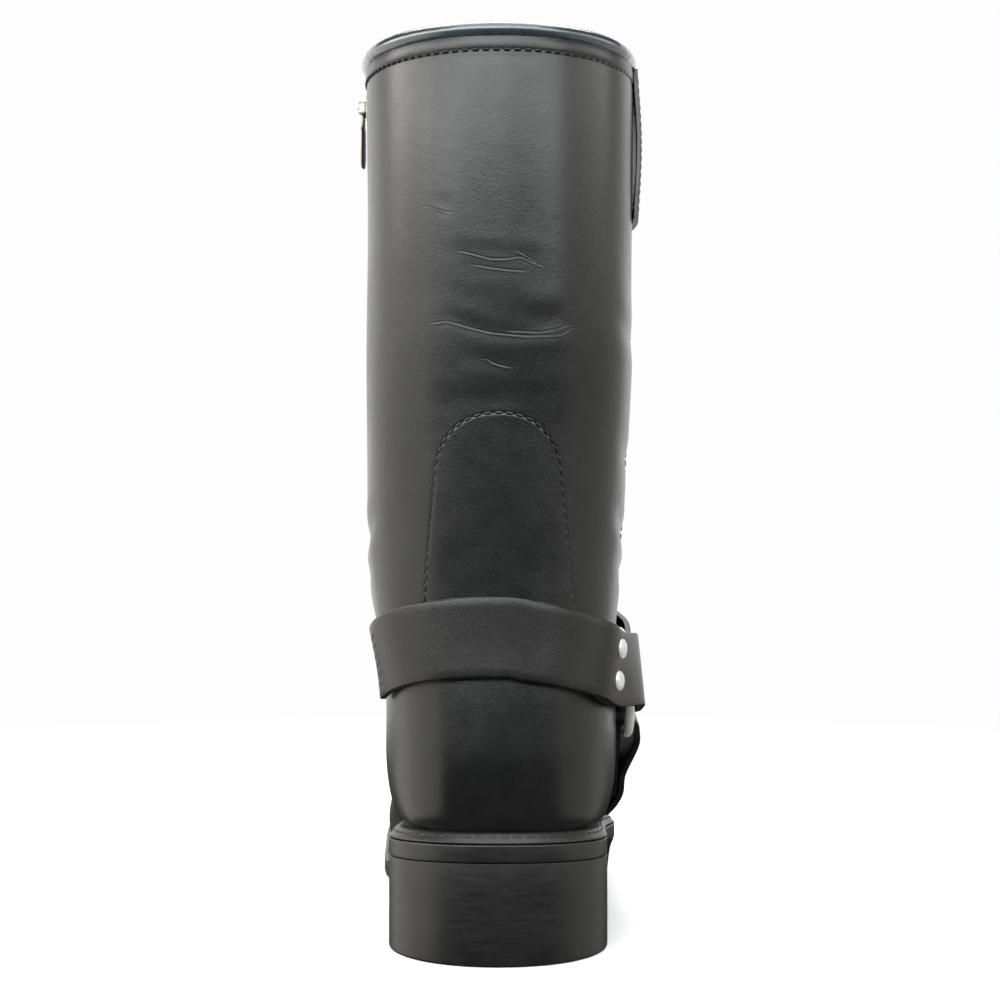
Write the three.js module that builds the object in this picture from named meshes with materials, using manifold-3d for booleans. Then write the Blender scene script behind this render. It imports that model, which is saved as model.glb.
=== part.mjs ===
// A right harness boot with a side zip, in millimetres.
// +X is the outer (lateral) side of the foot, +Y the toe, +Z up.
// The origin is the middle of the heel's flat bottom, on the floor.
import * as THREE from "three";
import { mergeVertices } from "three/addons/utils/BufferGeometryUtils.js";
import Module from "manifold-3d";

const wasm = await Module();
wasm.setup();

// Sole and foot
const outsoleLength = 302;
const ballWidth = 98.5;
const heelWidth = 77;
const heelLength = 72;
const heelHeight = 34.5;
const outsoleThickness = 5.8;
const outsoleEdgeRound = 1.2;
const heelEdgeRound = 0.8;
const toeSpring = 13;
const weltHeight = 3.6;
const weltInset = 0.7;
const weltShoulder = 1.1;
const weltCrown = 2.4;
const insoleThickness = 3;
const instepHeight = 118;
const ankleHeight = 138;

// Shaft
const bootHeight = 317.7;
const shaftWidth = 99.5;
const shaftDepth = 130;
const wall = 2.5;
const outerFacets = 30;
const innerFacets = 26;
const counterHeight = 185;
const counterWidth = 43;
const counterFlare = 0.095;
const counterRound = 2.2;
const counterStep = 0.5;
const bindingDiameter = 4.6;
const bindingSteps = 30;
const bindingSides = 7;

// Harness
const strapThickness = 2.4;
const backStrapWidth = 27;
const backStrapHeight = 110.5;
const backStrapLean = 6;
const frontStrapWidth = 24;
const frontStrapAngle = 40;
const underStrapWidth = 22;
const underStrapAngle = -70;
const ringDiameter = 41.6;
const ringWire = 3.8;
const ringForward = 38;
const ringHeight = 89;
const ringRise = 4.18;
const ringFacets = { wire: 8, turn: 28 };
const ringYaw = 3;
const ringLean = 3.5;
const rivetDiameter = 7;
const rivetDome = 1.5;
const rivetDomeShares = [0.35, 0.7];
const rivetShank = 2.8;
const rivetSpacing = 11.5;
const foldSteps = 6;
const loopSteps = { outward: 12, inward: 6 };

// Distances from the ring's middle along each strap: where its loop leaves the band, climbs over
// the tail, lies on the tail's end and leaves the boot's face.
const backLoopPlaces = [68, 62, 54, 42];
const backMedialStart = 35;
const backRivets = 47;
const frontLoopPlaces = [50, 45, 38, 28];
const frontMedialStart = 24;
const frontRivets = 33;
const underLoopPlaces = [62, 52, 42, 34];

// Zip and pull loop
const zipForward = 42;
const zipFoot = 80;
const zipSlit = 7;
const zipTapeWidth = 22;
const zipTapeThickness = 1;
const zipTapeEnd = 4;
const toothPitch = 6;
const toothLength = 5;
const toothDepth = 1.8;
const toothRings = [{ at: 0.25, size: 1 }, { at: 0.85, size: 0.6 }];
const sliderLength = 12;
const sliderWidth = 8;
const sliderThickness = 2.2;
const sliderLugs = { width: 1.2, height: 3.2, length: 5, pin: 1.4 };
const sliderDrop = 3.4;
const sliderInner = 0.8;
const pullNeck = 0.6;
const pullLength = 23;
const pullWidth = 6;
const pullThickness = 1.6;
const loopForward = 31;
const loopWidth = 26;
const loopDrop = 56;
const loopThickness = 1.9;
const loopBulge = 1.1;

// Fit
const gap = 0.3;
const ringRoom = 0.55;

const heelBack = -heelLength / 2;
const degree = Math.PI / 180;

// A smooth value between the rows of a table. A level table has no overshoot, so its flats stay flat.
function between(rows, key, at, level = false) {
  const last = rows.length - 1;
  const slope = (i) => (rows[i + 1][key] - rows[i][key]) / (rows[i + 1].at - rows[i].at);
  const tangent = (i) => {
    if (i === 0) return slope(0);
    if (i === last) return slope(last - 1);
    const before = slope(i - 1);
    const after = slope(i);
    if (level && before * after <= 0) return 0;
    if (level) return (2 * before * after) / (before + after);
    return (before + after) / 2;
  };
  if (at <= rows[0].at) return rows[0][key];
  if (at >= rows[last].at) return rows[last][key];
  const i = Math.min(last - 1, rows.findLastIndex((row) => row.at <= at));
  const span = rows[i + 1].at - rows[i].at;
  const t = (at - rows[i].at) / span;
  const rise = rows[i + 1][key] - rows[i][key];
  const first = tangent(i) * span;
  const second = tangent(i + 1) * span;
  return rows[i][key] + t * (first + t * (3 * rise - 2 * first - second + t * (first + second - 2 * rise)));
}

// The sole's outline. at: share of the outsole's length. heel, ball: shares of the two widths
// that add up to the width there. shift: the middle's move to the outer side, a share of the ball.
const soleOutline = [
  { at: 0, heel: 1, ball: 0, shift: 0 },
  { at: 0.13, heel: 1, ball: 0, shift: 0 },
  { at: 0.24, heel: 0.97, ball: 0.02, shift: 0.02 },
  { at: 0.33, heel: 0.6, ball: 0.34, shift: 0.056 },
  { at: 0.43, heel: 0.3, ball: 0.64, shift: 0.022 },
  { at: 0.53, heel: 0, ball: 0.955, shift: -0.014 },
  { at: 0.64, heel: 0, ball: 0.99, shift: -0.02 },
  { at: 0.75, heel: 0, ball: 0.98, shift: -0.04 },
  { at: 0.86, heel: 0, ball: 0.93, shift: -0.065 },
  { at: 1, heel: 0, ball: 0.84, shift: -0.085 },
];
const heelRound = { share: 0.12, power: 2.1 };
const toeRound = { share: 0.25, power: 2.3 };

// The outsole's underside. heel: share of the heel's height. spring: share of the toe spring.
const soleProfile = [
  { at: 0, heel: 1, spring: 0 },
  { at: 0.13, heel: 0.91, spring: 0 },
  { at: 0.24, heel: 0.83, spring: 0 },
  { at: 0.33, heel: 0.75, spring: 0 },
  { at: 0.39, heel: 0.58, spring: 0 },
  { at: 0.44, heel: 0.32, spring: 0 },
  { at: 0.485, heel: 0.08, spring: 0 },
  { at: 0.52, heel: 0, spring: 0 },
  { at: 0.68, heel: 0, spring: 0 },
  { at: 0.77, heel: 0, spring: 0.14 },
  { at: 0.86, heel: 0, spring: 0.42 },
  { at: 1, heel: 0, spring: 1 },
];

function soleBottom(y) {
  const at = (y - heelBack) / outsoleLength;
  return heelHeight * between(soleProfile, "heel", at, true)
    + toeSpring * between(soleProfile, "spring", at, true);
}

function soleTop(y) {
  return soleBottom(y) + outsoleThickness;
}

// Left and right edge of the outline at a share of the length, drawn in by an inset.
function soleEdges(at, inset) {
  const width = heelWidth * between(soleOutline, "heel", at) + ballWidth * between(soleOutline, "ball", at);
  const toHeel = Math.max(0, 1 - at / heelRound.share);
  const toToe = Math.max(0, 1 - (1 - at) / toeRound.share);
  const round = (1 - toHeel ** heelRound.power) ** (1 / heelRound.power)
    * (1 - toToe ** toeRound.power) ** (1 / toeRound.power);
  const half = (width / 2 - inset) * round;
  const middle = ballWidth * between(soleOutline, "shift", at);
  const centre = heelBack + outsoleLength / 2;
  const y = centre + (at - 0.5) * (outsoleLength - 2 * inset);
  return { y, left: middle - half, right: middle + half };
}

// Sections of the shaft, from above the collar down to the ankle.
// up: share of the way from the ankle to the collar. back: how far the back lies in front of the
// heel's back, depth and rise of the section: shares of the shaft's depth.
// medial, lateral: half widths as shares of the shaft's width. low, high: fullness at back and front.
const shaftSections = [
  { up: 1.12, back: 0.008, depth: 0.99, rise: 0.07, medial: 0.498, lateral: 0.498, low: 0.47, high: 0.5 },
  { up: 0.85, back: 0.008, depth: 0.985, rise: 0.07, medial: 0.497, lateral: 0.503, low: 0.47, high: 0.5 },
  { up: 0.6, back: 0.018, depth: 0.97, rise: 0.07, medial: 0.489, lateral: 0.501, low: 0.47, high: 0.5 },
  { up: 0.36, back: 0.034, depth: 0.93, rise: 0.08, medial: 0.494, lateral: 0.497, low: 0.47, high: 0.5 },
  { up: 0.17, back: 0.046, depth: 0.9, rise: 0.13, medial: 0.492, lateral: 0.479, low: 0.47, high: 0.5 },
  { up: 0, back: 0.05, depth: 0.89, rise: 0.185, medial: 0.486, lateral: 0.462, low: 0.46, high: 0.5 },
];

// Sections of the foot, from the ankle round the heel to the toe.
// low end: heel, a share of the outsole's length, and over, its height over the sole's top as a
// share of the ankle's height. high end: toe, a share of the length, and top, a share of the
// instep's height. medial, lateral, shift: shares of the ball's width.
const footSections = [
  { heel: 0.0166, over: 0.504, toe: 0.42, top: 1.22,
    medial: 0.478, lateral: 0.448, shift: 0, low: 0.44, high: 0.5 },
  { heel: 0.005, over: 0.301, toe: 0.457, top: 1.093,
    medial: 0.432, lateral: 0.432, shift: 0, low: 0.41, high: 0.5 },
  { heel: 0.002, over: 0.156, toe: 0.49, top: 1,
    medial: 0.422, lateral: 0.437, shift: 0, low: 0.38, high: 0.52 },
  { heel: 0.0166, over: 0.025, toe: 0.52, top: 0.924,
    medial: 0.42, lateral: 0.44, shift: 0, low: 0.34, high: 0.54 },
  { heel: 0.06, over: -0.028, toe: 0.55, top: 0.856,
    medial: 0.41, lateral: 0.43, shift: 0, low: 0.3, high: 0.55 },
  { heel: 0.149, over: -0.028, toe: 0.583, top: 0.788,
    medial: 0.4, lateral: 0.425, shift: 0, low: 0.28, high: 0.55 },
  { heel: 0.265, over: -0.028, toe: 0.6225, top: 0.72,
    medial: 0.4, lateral: 0.43, shift: 0, low: 0.27, high: 0.55 },
  { heel: 0.381, over: -0.028, toe: 0.669, top: 0.652,
    medial: 0.44, lateral: 0.455, shift: 0, low: 0.27, high: 0.55 },
  { heel: 0.497, over: -0.028, toe: 0.715, top: 0.593,
    medial: 0.48, lateral: 0.47, shift: -0.005, low: 0.27, high: 0.54 },
  { heel: 0.596, over: -0.028, toe: 0.758, top: 0.551,
    medial: 0.475, lateral: 0.465, shift: -0.02, low: 0.27, high: 0.52 },
  { heel: 0.689, over: -0.028, toe: 0.805, top: 0.522,
    medial: 0.462, lateral: 0.447, shift: -0.035, low: 0.27, high: 0.5 },
  { heel: 0.778, over: -0.028, toe: 0.848, top: 0.503,
    medial: 0.435, lateral: 0.42, shift: -0.055, low: 0.27, high: 0.48 },
];
const toeCap = { end: 0.982, shift: -0.08, height: 0.8, width: 0.85 };
const capSteps = 4;

// One row for each section: the two ends of its middle line, its half widths and its fullness.
function sectionRow(at, backY, backZ, frontY, frontZ, medial, lateral, shift, low, high) {
  return { at, backY, backZ, frontY, frontZ, medial, lateral, shift, low, high };
}

const lastRows = [];
for (const row of shaftSections) {
  const backY = heelBack + row.back * shaftDepth;
  const backZ = ankleHeight + row.up * (bootHeight - ankleHeight);
  lastRows.push(sectionRow(lastRows.length, backY, backZ, backY + row.depth * shaftDepth,
    backZ + row.rise * shaftDepth, row.medial * shaftWidth, row.lateral * shaftWidth, 0, row.low, row.high));
}
for (const row of footSections) {
  const backY = heelBack + row.heel * outsoleLength;
  const frontY = heelBack + row.toe * outsoleLength;
  lastRows.push(sectionRow(lastRows.length, backY, soleTop(backY) + row.over * ankleHeight, frontY,
    row.top * instepHeight, row.medial * ballWidth, row.lateral * ballWidth, row.shift * ballWidth,
    row.low, row.high));
}
const capStart = lastRows.length - 1;
const lastEnd = capStart + 1;

// The section at a place along the last. Past the last row it closes to the toe as a dome.
function sectionAt(at) {
  const row = {};
  for (const key of Object.keys(lastRows[0])) row[key] = between(lastRows, key, Math.min(at, capStart));
  if (at <= capStart) return row;
  const turn = Math.min(1, at - capStart) * Math.PI / 2;
  const close = Math.cos(turn);
  const lean = row.frontY - row.backY;
  const height = row.frontZ - row.backZ;
  const tip = heelBack + toeCap.end * outsoleLength;
  row.shift += (toeCap.shift * ballWidth - row.shift) * Math.sin(turn);
  row.backY += (tip - row.backY) * Math.sin(turn);
  row.backZ = soleTop(row.backY) + footSections.at(-1).over * ankleHeight;
  row.frontY = row.backY + lean * close;
  row.frontZ = row.backZ + height * close ** toeCap.height;
  row.medial *= close ** toeCap.width;
  row.lateral *= close ** toeCap.width;
  return row;
}

function pointInSection(row, angle) {
  const along = (1 - Math.cos(angle)) / 2;
  const widest = row.low / (row.low + row.high);
  const full = (along ** row.low * (1 - along) ** row.high) / (widest ** row.low * (1 - widest) ** row.high);
  const half = Math.sin(angle) >= 0 ? row.lateral : -row.medial;
  return new THREE.Vector3(row.shift + half * full, row.backY + along * (row.frontY - row.backY),
    row.backZ + along * (row.frontZ - row.backZ));
}

// A point of the boot's outer face, moved out along the face's normal by an offset.
// The angle runs from the back or bottom line round the lateral side.
function lastPoint(at, angle, offset = 0) {
  const point = pointInSection(sectionAt(at), angle);
  if (offset === 0) return point;
  if (at >= lastEnd) return point.add(new THREE.Vector3(0, offset, 0));
  return point.addScaledVector(lastNormal(at, angle), offset);
}

function lastNormal(at, angle) {
  const step = 0.02;
  const before = Math.max(0, at - step);
  const after = Math.min(lastEnd, at + step);
  const along = pointInSection(sectionAt(after), angle).sub(pointInSection(sectionAt(before), angle));
  const row = sectionAt(at);
  const around = pointInSection(row, angle + step).sub(pointInSection(row, angle - step));
  return along.cross(around).normalize();
}

// The place on the boot's face at a given Y and Z, on the lateral side (1) or the medial one (-1).
function facePlace(y, z, side) {
  const over = (at) => {
    const row = sectionAt(at);
    return (z - row.backZ) * (row.frontY - row.backY) - (y - row.backY) * (row.frontZ - row.backZ);
  };
  let high = 0;
  let low = capStart;
  for (let i = 0; i < 30; i += 1) {
    const middle = (high + low) / 2;
    if (over(middle) < 0) high = middle;
    else low = middle;
  }
  const row = sectionAt(high);
  const line = new THREE.Vector2(row.frontY - row.backY, row.frontZ - row.backZ);
  const along = new THREE.Vector2(y - row.backY, z - row.backZ).dot(line) / line.lengthSq();
  return { at: high, angle: side * Math.acos(1 - 2 * THREE.MathUtils.clamp(along, 0, 1)) };
}

function facePoint(y, z, side, offset) {
  const { at, angle } = facePlace(y, z, side);
  return lastPoint(at, angle, offset);
}

// A frame on the boot's face: X out of the face, Y across it, Z up along it.
function faceFrame(y, z, side, offset) {
  const { at, angle } = facePlace(y, z, side);
  const out = lastNormal(at, angle);
  const across = new THREE.Vector3(0, 0, 1).cross(out).normalize();
  const up = out.clone().cross(across);
  return new THREE.Matrix4().makeBasis(out, across, up).setPosition(lastPoint(at, angle, offset));
}

// A closed solid from points and triangles.
function solidFrom(points, triangles) {
  const geometry = new THREE.BufferGeometry();
  const places = points.flatMap((p) => [p.x, p.y, p.z]);
  geometry.setAttribute("position", new THREE.Float32BufferAttribute(places, 3));
  geometry.setIndex(triangles.flat());
  return solidFromGeometry(geometry);
}

function solidFromGeometry(geometry) {
  const bare = geometry.clone();
  bare.deleteAttribute("normal");
  bare.deleteAttribute("uv");
  const merged = mergeVertices(bare, 1e-4);
  const index = merged.index.array;
  const triVerts = [];
  for (let i = 0; i < index.length; i += 3) {
    const [a, b, c] = [index[i], index[i + 1], index[i + 2]];
    if (a !== b && b !== c && c !== a) triVerts.push(a, b, c);
  }
  return new wasm.Manifold(new wasm.Mesh({
    numProp: 3,
    vertProperties: merged.attributes.position.array,
    triVerts: new Uint32Array(triVerts),
  }));
}

// The faces between rings of points that follow each other.
function sideTriangles(rings, count) {
  const triangles = [];
  for (let r = 0; r + 1 < rings; r += 1) {
    for (let i = 0; i < count; i += 1) {
      const j = (i + 1) % count;
      const [a, b, c, d] = [r * count + i, r * count + j, (r + 1) * count + j, (r + 1) * count + i];
      triangles.push([a, b, c], [a, c, d]);
    }
  }
  return triangles;
}

// A solid through rings of points, each ring counter-clockwise when the next rings come towards the eye.
function loft(rings) {
  const count = rings[0].length;
  const triangles = sideTriangles(rings.length, count);
  const top = (rings.length - 1) * count;
  for (let i = 1; i + 1 < count; i += 1) triangles.push([0, i + 1, i], [top, top + i, top + i + 1]);
  return solidFrom(rings.flat(), triangles);
}

// The boot's form as a filled solid, its faces moved out by an offset.
function lastForm(offset, perRow = 2, around = outerFacets) {
  const ankle = shaftSections.length - 1;
  const places = [];
  for (let i = 0; i < ankle; i += 1) places.push(i);
  for (let i = 0; i < (capStart - ankle) * perRow; i += 1) places.push(ankle + i / perRow);
  for (let i = 0; i <= capSteps; i += 1) places.push(capStart + i / capSteps);
  const rings = places.map((at) => {
    const ring = [];
    for (let i = 0; i < around; i += 1) ring.push(lastPoint(at, (i / around) * 2 * Math.PI, offset));
    return ring;
  });
  return loft(rings.reverse());
}

// A solid between two heights that change along Y, with straight sides.
function region(places, low, high, left, right) {
  const rings = places.map((y) => [[left, low(y)], [left, high(y)], [right, high(y)], [right, low(y)]]
    .map(([x, z]) => new THREE.Vector3(x, y, z)));
  return loft(rings);
}

// A block in a frame of its own: its size and shift run outward, across and up.
function block(size, frame, shift = [0, 0, 0]) {
  const geometry = new THREE.BoxGeometry(...size);
  geometry.translate(...shift);
  return solidFromGeometry(geometry.applyMatrix4(frame));
}

// Shares of the sole's length, closer together where its ends are round.
function soleShares(to = 1, steps = 34) {
  const shares = [];
  for (let i = 0; i <= steps; i += 1) {
    const turn = (i / steps) * (to === 1 ? Math.PI : Math.PI / 2);
    shares.push(to * (to === 1 ? (1 - Math.cos(turn)) / 2 : 1 - Math.cos(turn)));
  }
  return shares;
}

// A plate with the sole's outline. Each level has an inset and a height that changes along Y.
function plate(levels, shares = soleShares()) {
  const rings = levels.map(({ inset, height }) => {
    const edges = shares.map((at) => soleEdges(at, inset));
    const right = edges.map(({ y, right: x }) => new THREE.Vector3(x, y, height(y)));
    const left = edges.map(({ y, left: x }) => new THREE.Vector3(x, y, height(y)));
    return [...right, ...left.reverse()];
  });
  const count = 2 * shares.length;
  const triangles = sideTriangles(rings.length, count);
  const top = (rings.length - 1) * count;
  for (let i = 0; i + 1 < shares.length; i += 1) {
    const [a, b, c, d] = [i, i + 1, count - 2 - i, count - 1 - i];
    triangles.push([a, c, b], [a, d, c], [top + a, top + b, top + c], [top + a, top + c, top + d]);
  }
  return solidFrom(rings.flat(), triangles);
}

// A strap along a path of places. Each has a middle point and a direction across the strap.
function ribbon(path, width, thickness) {
  const rings = path.map(({ point, across }, i) => {
    const before = path[Math.max(0, i - 1)].point;
    const after = path[Math.min(path.length - 1, i + 1)].point;
    const along = after.clone().sub(before).normalize();
    const side = across.clone().addScaledVector(along, -across.dot(along)).normalize();
    const out = along.clone().cross(side);
    return [[-1, -1], [1, -1], [1, 1], [-1, 1]].map(([s, o]) => point.clone()
      .addScaledVector(side, (s * width) / 2)
      .addScaledVector(out, (o * thickness) / 2));
  });
  return loft(rings);
}

// A smooth path through places, with their directions across turned evenly on the way.
function smoothPath(places, steps) {
  const middle = new THREE.CatmullRomCurve3(places.map(({ point }) => point), false, "centripetal");
  const across = new THREE.CatmullRomCurve3(places.map((place) => place.across), false, "centripetal");
  const path = [];
  for (let i = 0; i <= steps; i += 1) {
    path.push({ point: middle.getPoint(i / steps), across: across.getPoint(i / steps) });
  }
  return path;
}

// A layer on the boot between two offsets from its face, over a rectangle of the side.
// Offsets may change with the height: share runs from 0 at the bottom to 1 at the top.
function patch(fromY, toY, fromZ, toZ, side, inner, outer, acrossSteps, upSteps) {
  const ring = (i, share) => {
    const z = fromZ + (toZ - fromZ) * share;
    const y = fromY + ((toY - fromY) * i) / acrossSteps;
    return { y, z };
  };
  const rings = [];
  for (let j = 0; j <= upSteps; j += 1) {
    const share = j / upSteps;
    const low = [];
    const high = [];
    for (let i = 0; i <= acrossSteps; i += 1) {
      const { y, z } = ring(i, share);
      low.push(facePoint(y, z, side, inner(share)));
      high.push(facePoint(y, z, side, outer(share)));
    }
    rings.push(side > 0 ? [...high, ...low.reverse()] : [...low, ...high.reverse()]);
  }
  const count = rings[0].length;
  const triangles = sideTriangles(rings.length, count);
  const top = (rings.length - 1) * count;
  for (let i = 0; i < acrossSteps; i += 1) {
    const [a, b, c, d] = [i, i + 1, count - 2 - i, count - 1 - i];
    triangles.push([a, c, b], [a, d, c], [top + a, top + b, top + c], [top + a, top + c, top + d]);
  }
  return solidFrom(rings.flat(), triangles);
}

const boot = new THREE.Group();

const finishes = {
  leather: new THREE.MeshStandardMaterial({ color: 0x2e302e, roughness: 0.5, metalness: 0 }),
  strapLeather: new THREE.MeshStandardMaterial({ color: 0x2b2a28, roughness: 0.55, metalness: 0 }),
  rubber: new THREE.MeshStandardMaterial({ color: 0x1c1c1b, roughness: 0.75, metalness: 0 }),
  cloth: new THREE.MeshStandardMaterial({ color: 0x171717, roughness: 0.9, metalness: 0 }),
  lining: new THREE.MeshStandardMaterial({ color: 0x3a332c, roughness: 0.85, metalness: 0 }),
  nickel: new THREE.MeshStandardMaterial({ color: 0xc9c8c2, roughness: 0.25, metalness: 1 }),
};

function add(name, solid, finish) {
  const { numProp, vertProperties, triVerts } = solid.getMesh();
  const positions = new Float32Array((vertProperties.length / numProp) * 3);
  for (let i = 0; i < positions.length / 3; i += 1) {
    for (let k = 0; k < 3; k += 1) positions[3 * i + k] = vertProperties[i * numProp + k];
  }
  const geometry = new THREE.BufferGeometry();
  geometry.setAttribute("position", new THREE.BufferAttribute(positions, 3));
  geometry.setIndex(new THREE.BufferAttribute(new Uint32Array(triVerts), 1));
  geometry.computeVertexNormals();
  const mesh = new THREE.Mesh(geometry, finishes[finish]);
  mesh.name = name;
  boot.add(mesh);
  return solid;
}

const outerForm = lastForm(0);
const clearForm = lastForm(gap);
const strapForm = lastForm(gap + counterStep + strapThickness);
const underStrapForm = lastForm(gap + counterStep);
const innerForm = lastForm(-wall, 1, innerFacets);
const insideForm = lastForm(-wall - gap, 1, innerFacets);
const tapeForm = lastForm(-wall - gap - zipTapeThickness, 1, innerFacets);
const reach = shaftDepth * 3;
const collarSlope = shaftSections[0].rise / shaftSections[0].depth;

function collarAt(y) {
  return bootHeight - bindingDiameter - gap + collarSlope * (y - heelBack);
}

function weltTop(y) {
  return soleTop(y) + gap + weltHeight;
}

function buildSole() {
  const heelShares = soleShares(heelLength / outsoleLength, 16);
  add("heel", plate([
    { inset: heelEdgeRound, height: () => 0 },
    { inset: 0, height: () => heelEdgeRound },
    { inset: 0, height: (y) => soleBottom(y) - gap },
  ], heelShares), "rubber");
  add("outsole", plate([
    { inset: outsoleEdgeRound, height: soleBottom },
    { inset: 0, height: (y) => soleBottom(y) + outsoleEdgeRound },
    { inset: 0, height: soleTop },
  ]), "rubber");
  const welt = plate([
    { inset: weltInset, height: (y) => soleTop(y) + gap },
    { inset: weltInset, height: (y) => soleTop(y) + gap + weltShoulder },
    { inset: weltInset + weltCrown, height: weltTop },
  ]);
  add("welt", welt.subtract(clearForm), "leather");
  const bed = plate([
    { inset: 0, height: (y) => soleTop(y) + gap },
    { inset: 0, height: (y) => soleTop(y) + gap + insoleThickness },
  ]);
  add("insole", bed.intersect(insideForm), "lining");
}

// The counter's outline as seen from behind, an arch that widens downwards.
function counterArch() {
  const cap = counterWidth / 2;
  const half = (drop) => {
    const round = 1 - Math.min(1, drop / cap);
    const flare = Math.max(0, drop - cap) * counterFlare;
    return cap * (1 - round ** counterRound) ** (1 / counterRound) + flare;
  };
  const drops = [0.01, 0.05, 0.12, 0.25, 0.4, 0.6, 0.8, 1].map((share) => share * cap);
  drops.push(counterHeight - weltTop(heelBack) - gap);
  const arch = new THREE.Shape();
  arch.moveTo(0, -counterHeight);
  for (const drop of drops) arch.lineTo(half(drop), drop - counterHeight);
  for (const drop of drops.reverse()) arch.lineTo(-half(drop), drop - counterHeight);
  const geometry = new THREE.ExtrudeGeometry(arch, { depth: heelLength, bevelEnabled: false });
  return geometry.rotateX(-Math.PI / 2).translate(0, heelBack, 0);
}

function buildUpper() {
  const soleYs = soleShares().map((at) => soleEdges(at, 0).y);
  const ground = region([-reach, ...soleYs, reach], () => -reach, (y) => soleTop(y) + gap, -reach, reach);
  const sky = region([-reach, reach], collarAt, () => bootHeight + reach, -reach, reach);
  const slit = region([zipForward - zipSlit / 2, zipForward + zipSlit / 2], () => zipFoot,
    () => bootHeight + reach, -reach, 0);
  const raised = lastForm(counterStep).intersect(solidFromGeometry(counterArch()));
  const shell = outerForm.add(raised).subtract(innerForm);
  add("upper", shell.subtract(ground).subtract(sky).subtract(slit), "leather");
}

// The rolled binding on the collar's edge, open where the zip parts the shaft.
function buildBinding() {
  const radius = bindingDiameter / 2;
  let [high, low] = [0, shaftSections.length - 1];
  for (let i = 0; i < 30; i += 1) {
    const middle = (high + low) / 2;
    if (sectionAt(middle).backZ > bootHeight - radius) high = middle;
    else low = middle;
  }
  const row = sectionAt(high);
  const angleAt = (y) => Math.acos(1 - (2 * (y - row.backY)) / (row.frontY - row.backY));
  const behindZip = -angleAt(zipForward - zipSlit / 2);
  const beforeZip = 2 * Math.PI - angleAt(zipForward + zipSlit / 2);
  const rings = [];
  for (let i = 0; i <= bindingSteps; i += 1) {
    const angle = behindZip + ((beforeZip - behindZip) * i) / bindingSteps;
    const centre = lastPoint(high, angle, -wall / 2);
    const out = lastNormal(high, angle);
    const ring = [];
    for (let k = 0; k < bindingSides; k += 1) {
      const turn = (2 * Math.PI * (k + 0.5)) / bindingSides;
      ring.push(centre.clone().addScaledVector(out, radius * Math.cos(turn))
        .add(new THREE.Vector3(0, 0, radius * Math.sin(turn))));
    }
    rings.push(ring.reverse());
  }
  add("collar_binding", loft(rings), "leather");
}

// The ring's own frame: X out of its plane, Y to its front, Z to its top.
const ringFrame = (() => {
  const front = new THREE.Vector3(-Math.sin(ringYaw * degree), Math.cos(ringYaw * degree), 0);
  const lean = new THREE.Vector3(-Math.sin(ringLean * degree), 0, Math.cos(ringLean * degree));
  const out = front.clone().cross(lean).normalize();
  const top = out.clone().cross(front);
  return new THREE.Matrix4().makeBasis(out, front, top)
    .setPosition(facePoint(ringForward, ringHeight, 1, 0).x + ringRise, ringForward, ringHeight);
})();
const ringRadius = (ringDiameter - ringWire) / 2;

function buildRing() {
  const geometry = new THREE.TorusGeometry(ringRadius, ringWire / 2, ringFacets.wire, ringFacets.turn);
  geometry.rotateY(Math.PI / 2);
  add("harness_ring", solidFromGeometry(geometry.applyMatrix4(ringFrame)), "nickel");
}

// The places of a strap's fold round the ring's wire. The strap points away from the ring's middle
// at an angle from the front, and its two layers lie either side of the wire.
function foldPlaces(angle, width) {
  const radial = [Math.cos(angle * degree), Math.sin(angle * degree)];
  const across = new THREE.Vector3(0, -radial[1], radial[0]).transformDirection(ringFrame);
  const layer = ringWire / 2 + ringRoom + strapThickness / 2;
  const bend = Math.sqrt((ringRadius - ringWire / 2) ** 2 - (width / 2) ** 2) + ringWire / 2;
  const place = (distance, out) => {
    const point = new THREE.Vector3(out, radial[0] * distance, radial[1] * distance).applyMatrix4(ringFrame);
    return { point, across };
  };
  const places = [place(ringRadius + ringWire / 2, layer)];
  for (let i = 0; i <= foldSteps; i += 1) {
    const turn = (Math.PI * i) / foldSteps;
    places.push(place(bend - layer * Math.sin(turn), layer * Math.cos(turn)));
  }
  places.push(place(ringRadius + ringWire / 2, -layer));
  return places;
}

// A place of a strap beside the boot's face: the strap's lower face lies at an offset.
function strapPlace(y, z, under, along) {
  const { at, angle } = facePlace(y, z, 1);
  const across = lastNormal(at, angle).cross(new THREE.Vector3(0, ...along)).normalize();
  return { point: lastPoint(at, angle, under + strapThickness / 2), across };
}

// The Y and Z of a place on a strap at the boot's lateral face, at a distance from the ring's middle
// along the strap and a shift across it. A strap that leans runs lower there than at the heel's middle.
function strapSpot(angle, lean, distance, shift) {
  const along = [Math.cos(angle * degree), Math.sin(angle * degree)];
  const spot = (across) => [ringForward + along[0] * distance - along[1] * across,
    ringHeight + along[1] * distance + along[0] * across];
  const out = facePoint(...spot(shift), 1, 0).x;
  return spot(shift + out * Math.tan(lean * degree));
}

// The two layers of a strap between the boot and the ring: out to the ring, round its wire and back.
function strapLoop(angle, width, starts, lean = 0) {
  const along = [Math.cos(angle * degree), Math.sin(angle * degree)];
  const place = (distance, under) => strapPlace(...strapSpot(angle, lean, distance, 0), under, along);
  const lower = gap + counterStep;
  const upper = lower + strapThickness + gap;
  const [far, climb, end, near] = starts;
  const fold = foldPlaces(angle, width);
  const outward = smoothPath([place(far, lower), place(climb, lower), place(end, upper), place(near, upper),
    ...fold.slice(0, 2)], loopSteps.outward);
  const inward = smoothPath([...fold.slice(-2), place(near, lower), place(end, lower)], loopSteps.inward);
  return ribbon([...outward, ...fold.slice(2, -2), ...inward], width, strapThickness);
}

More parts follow.
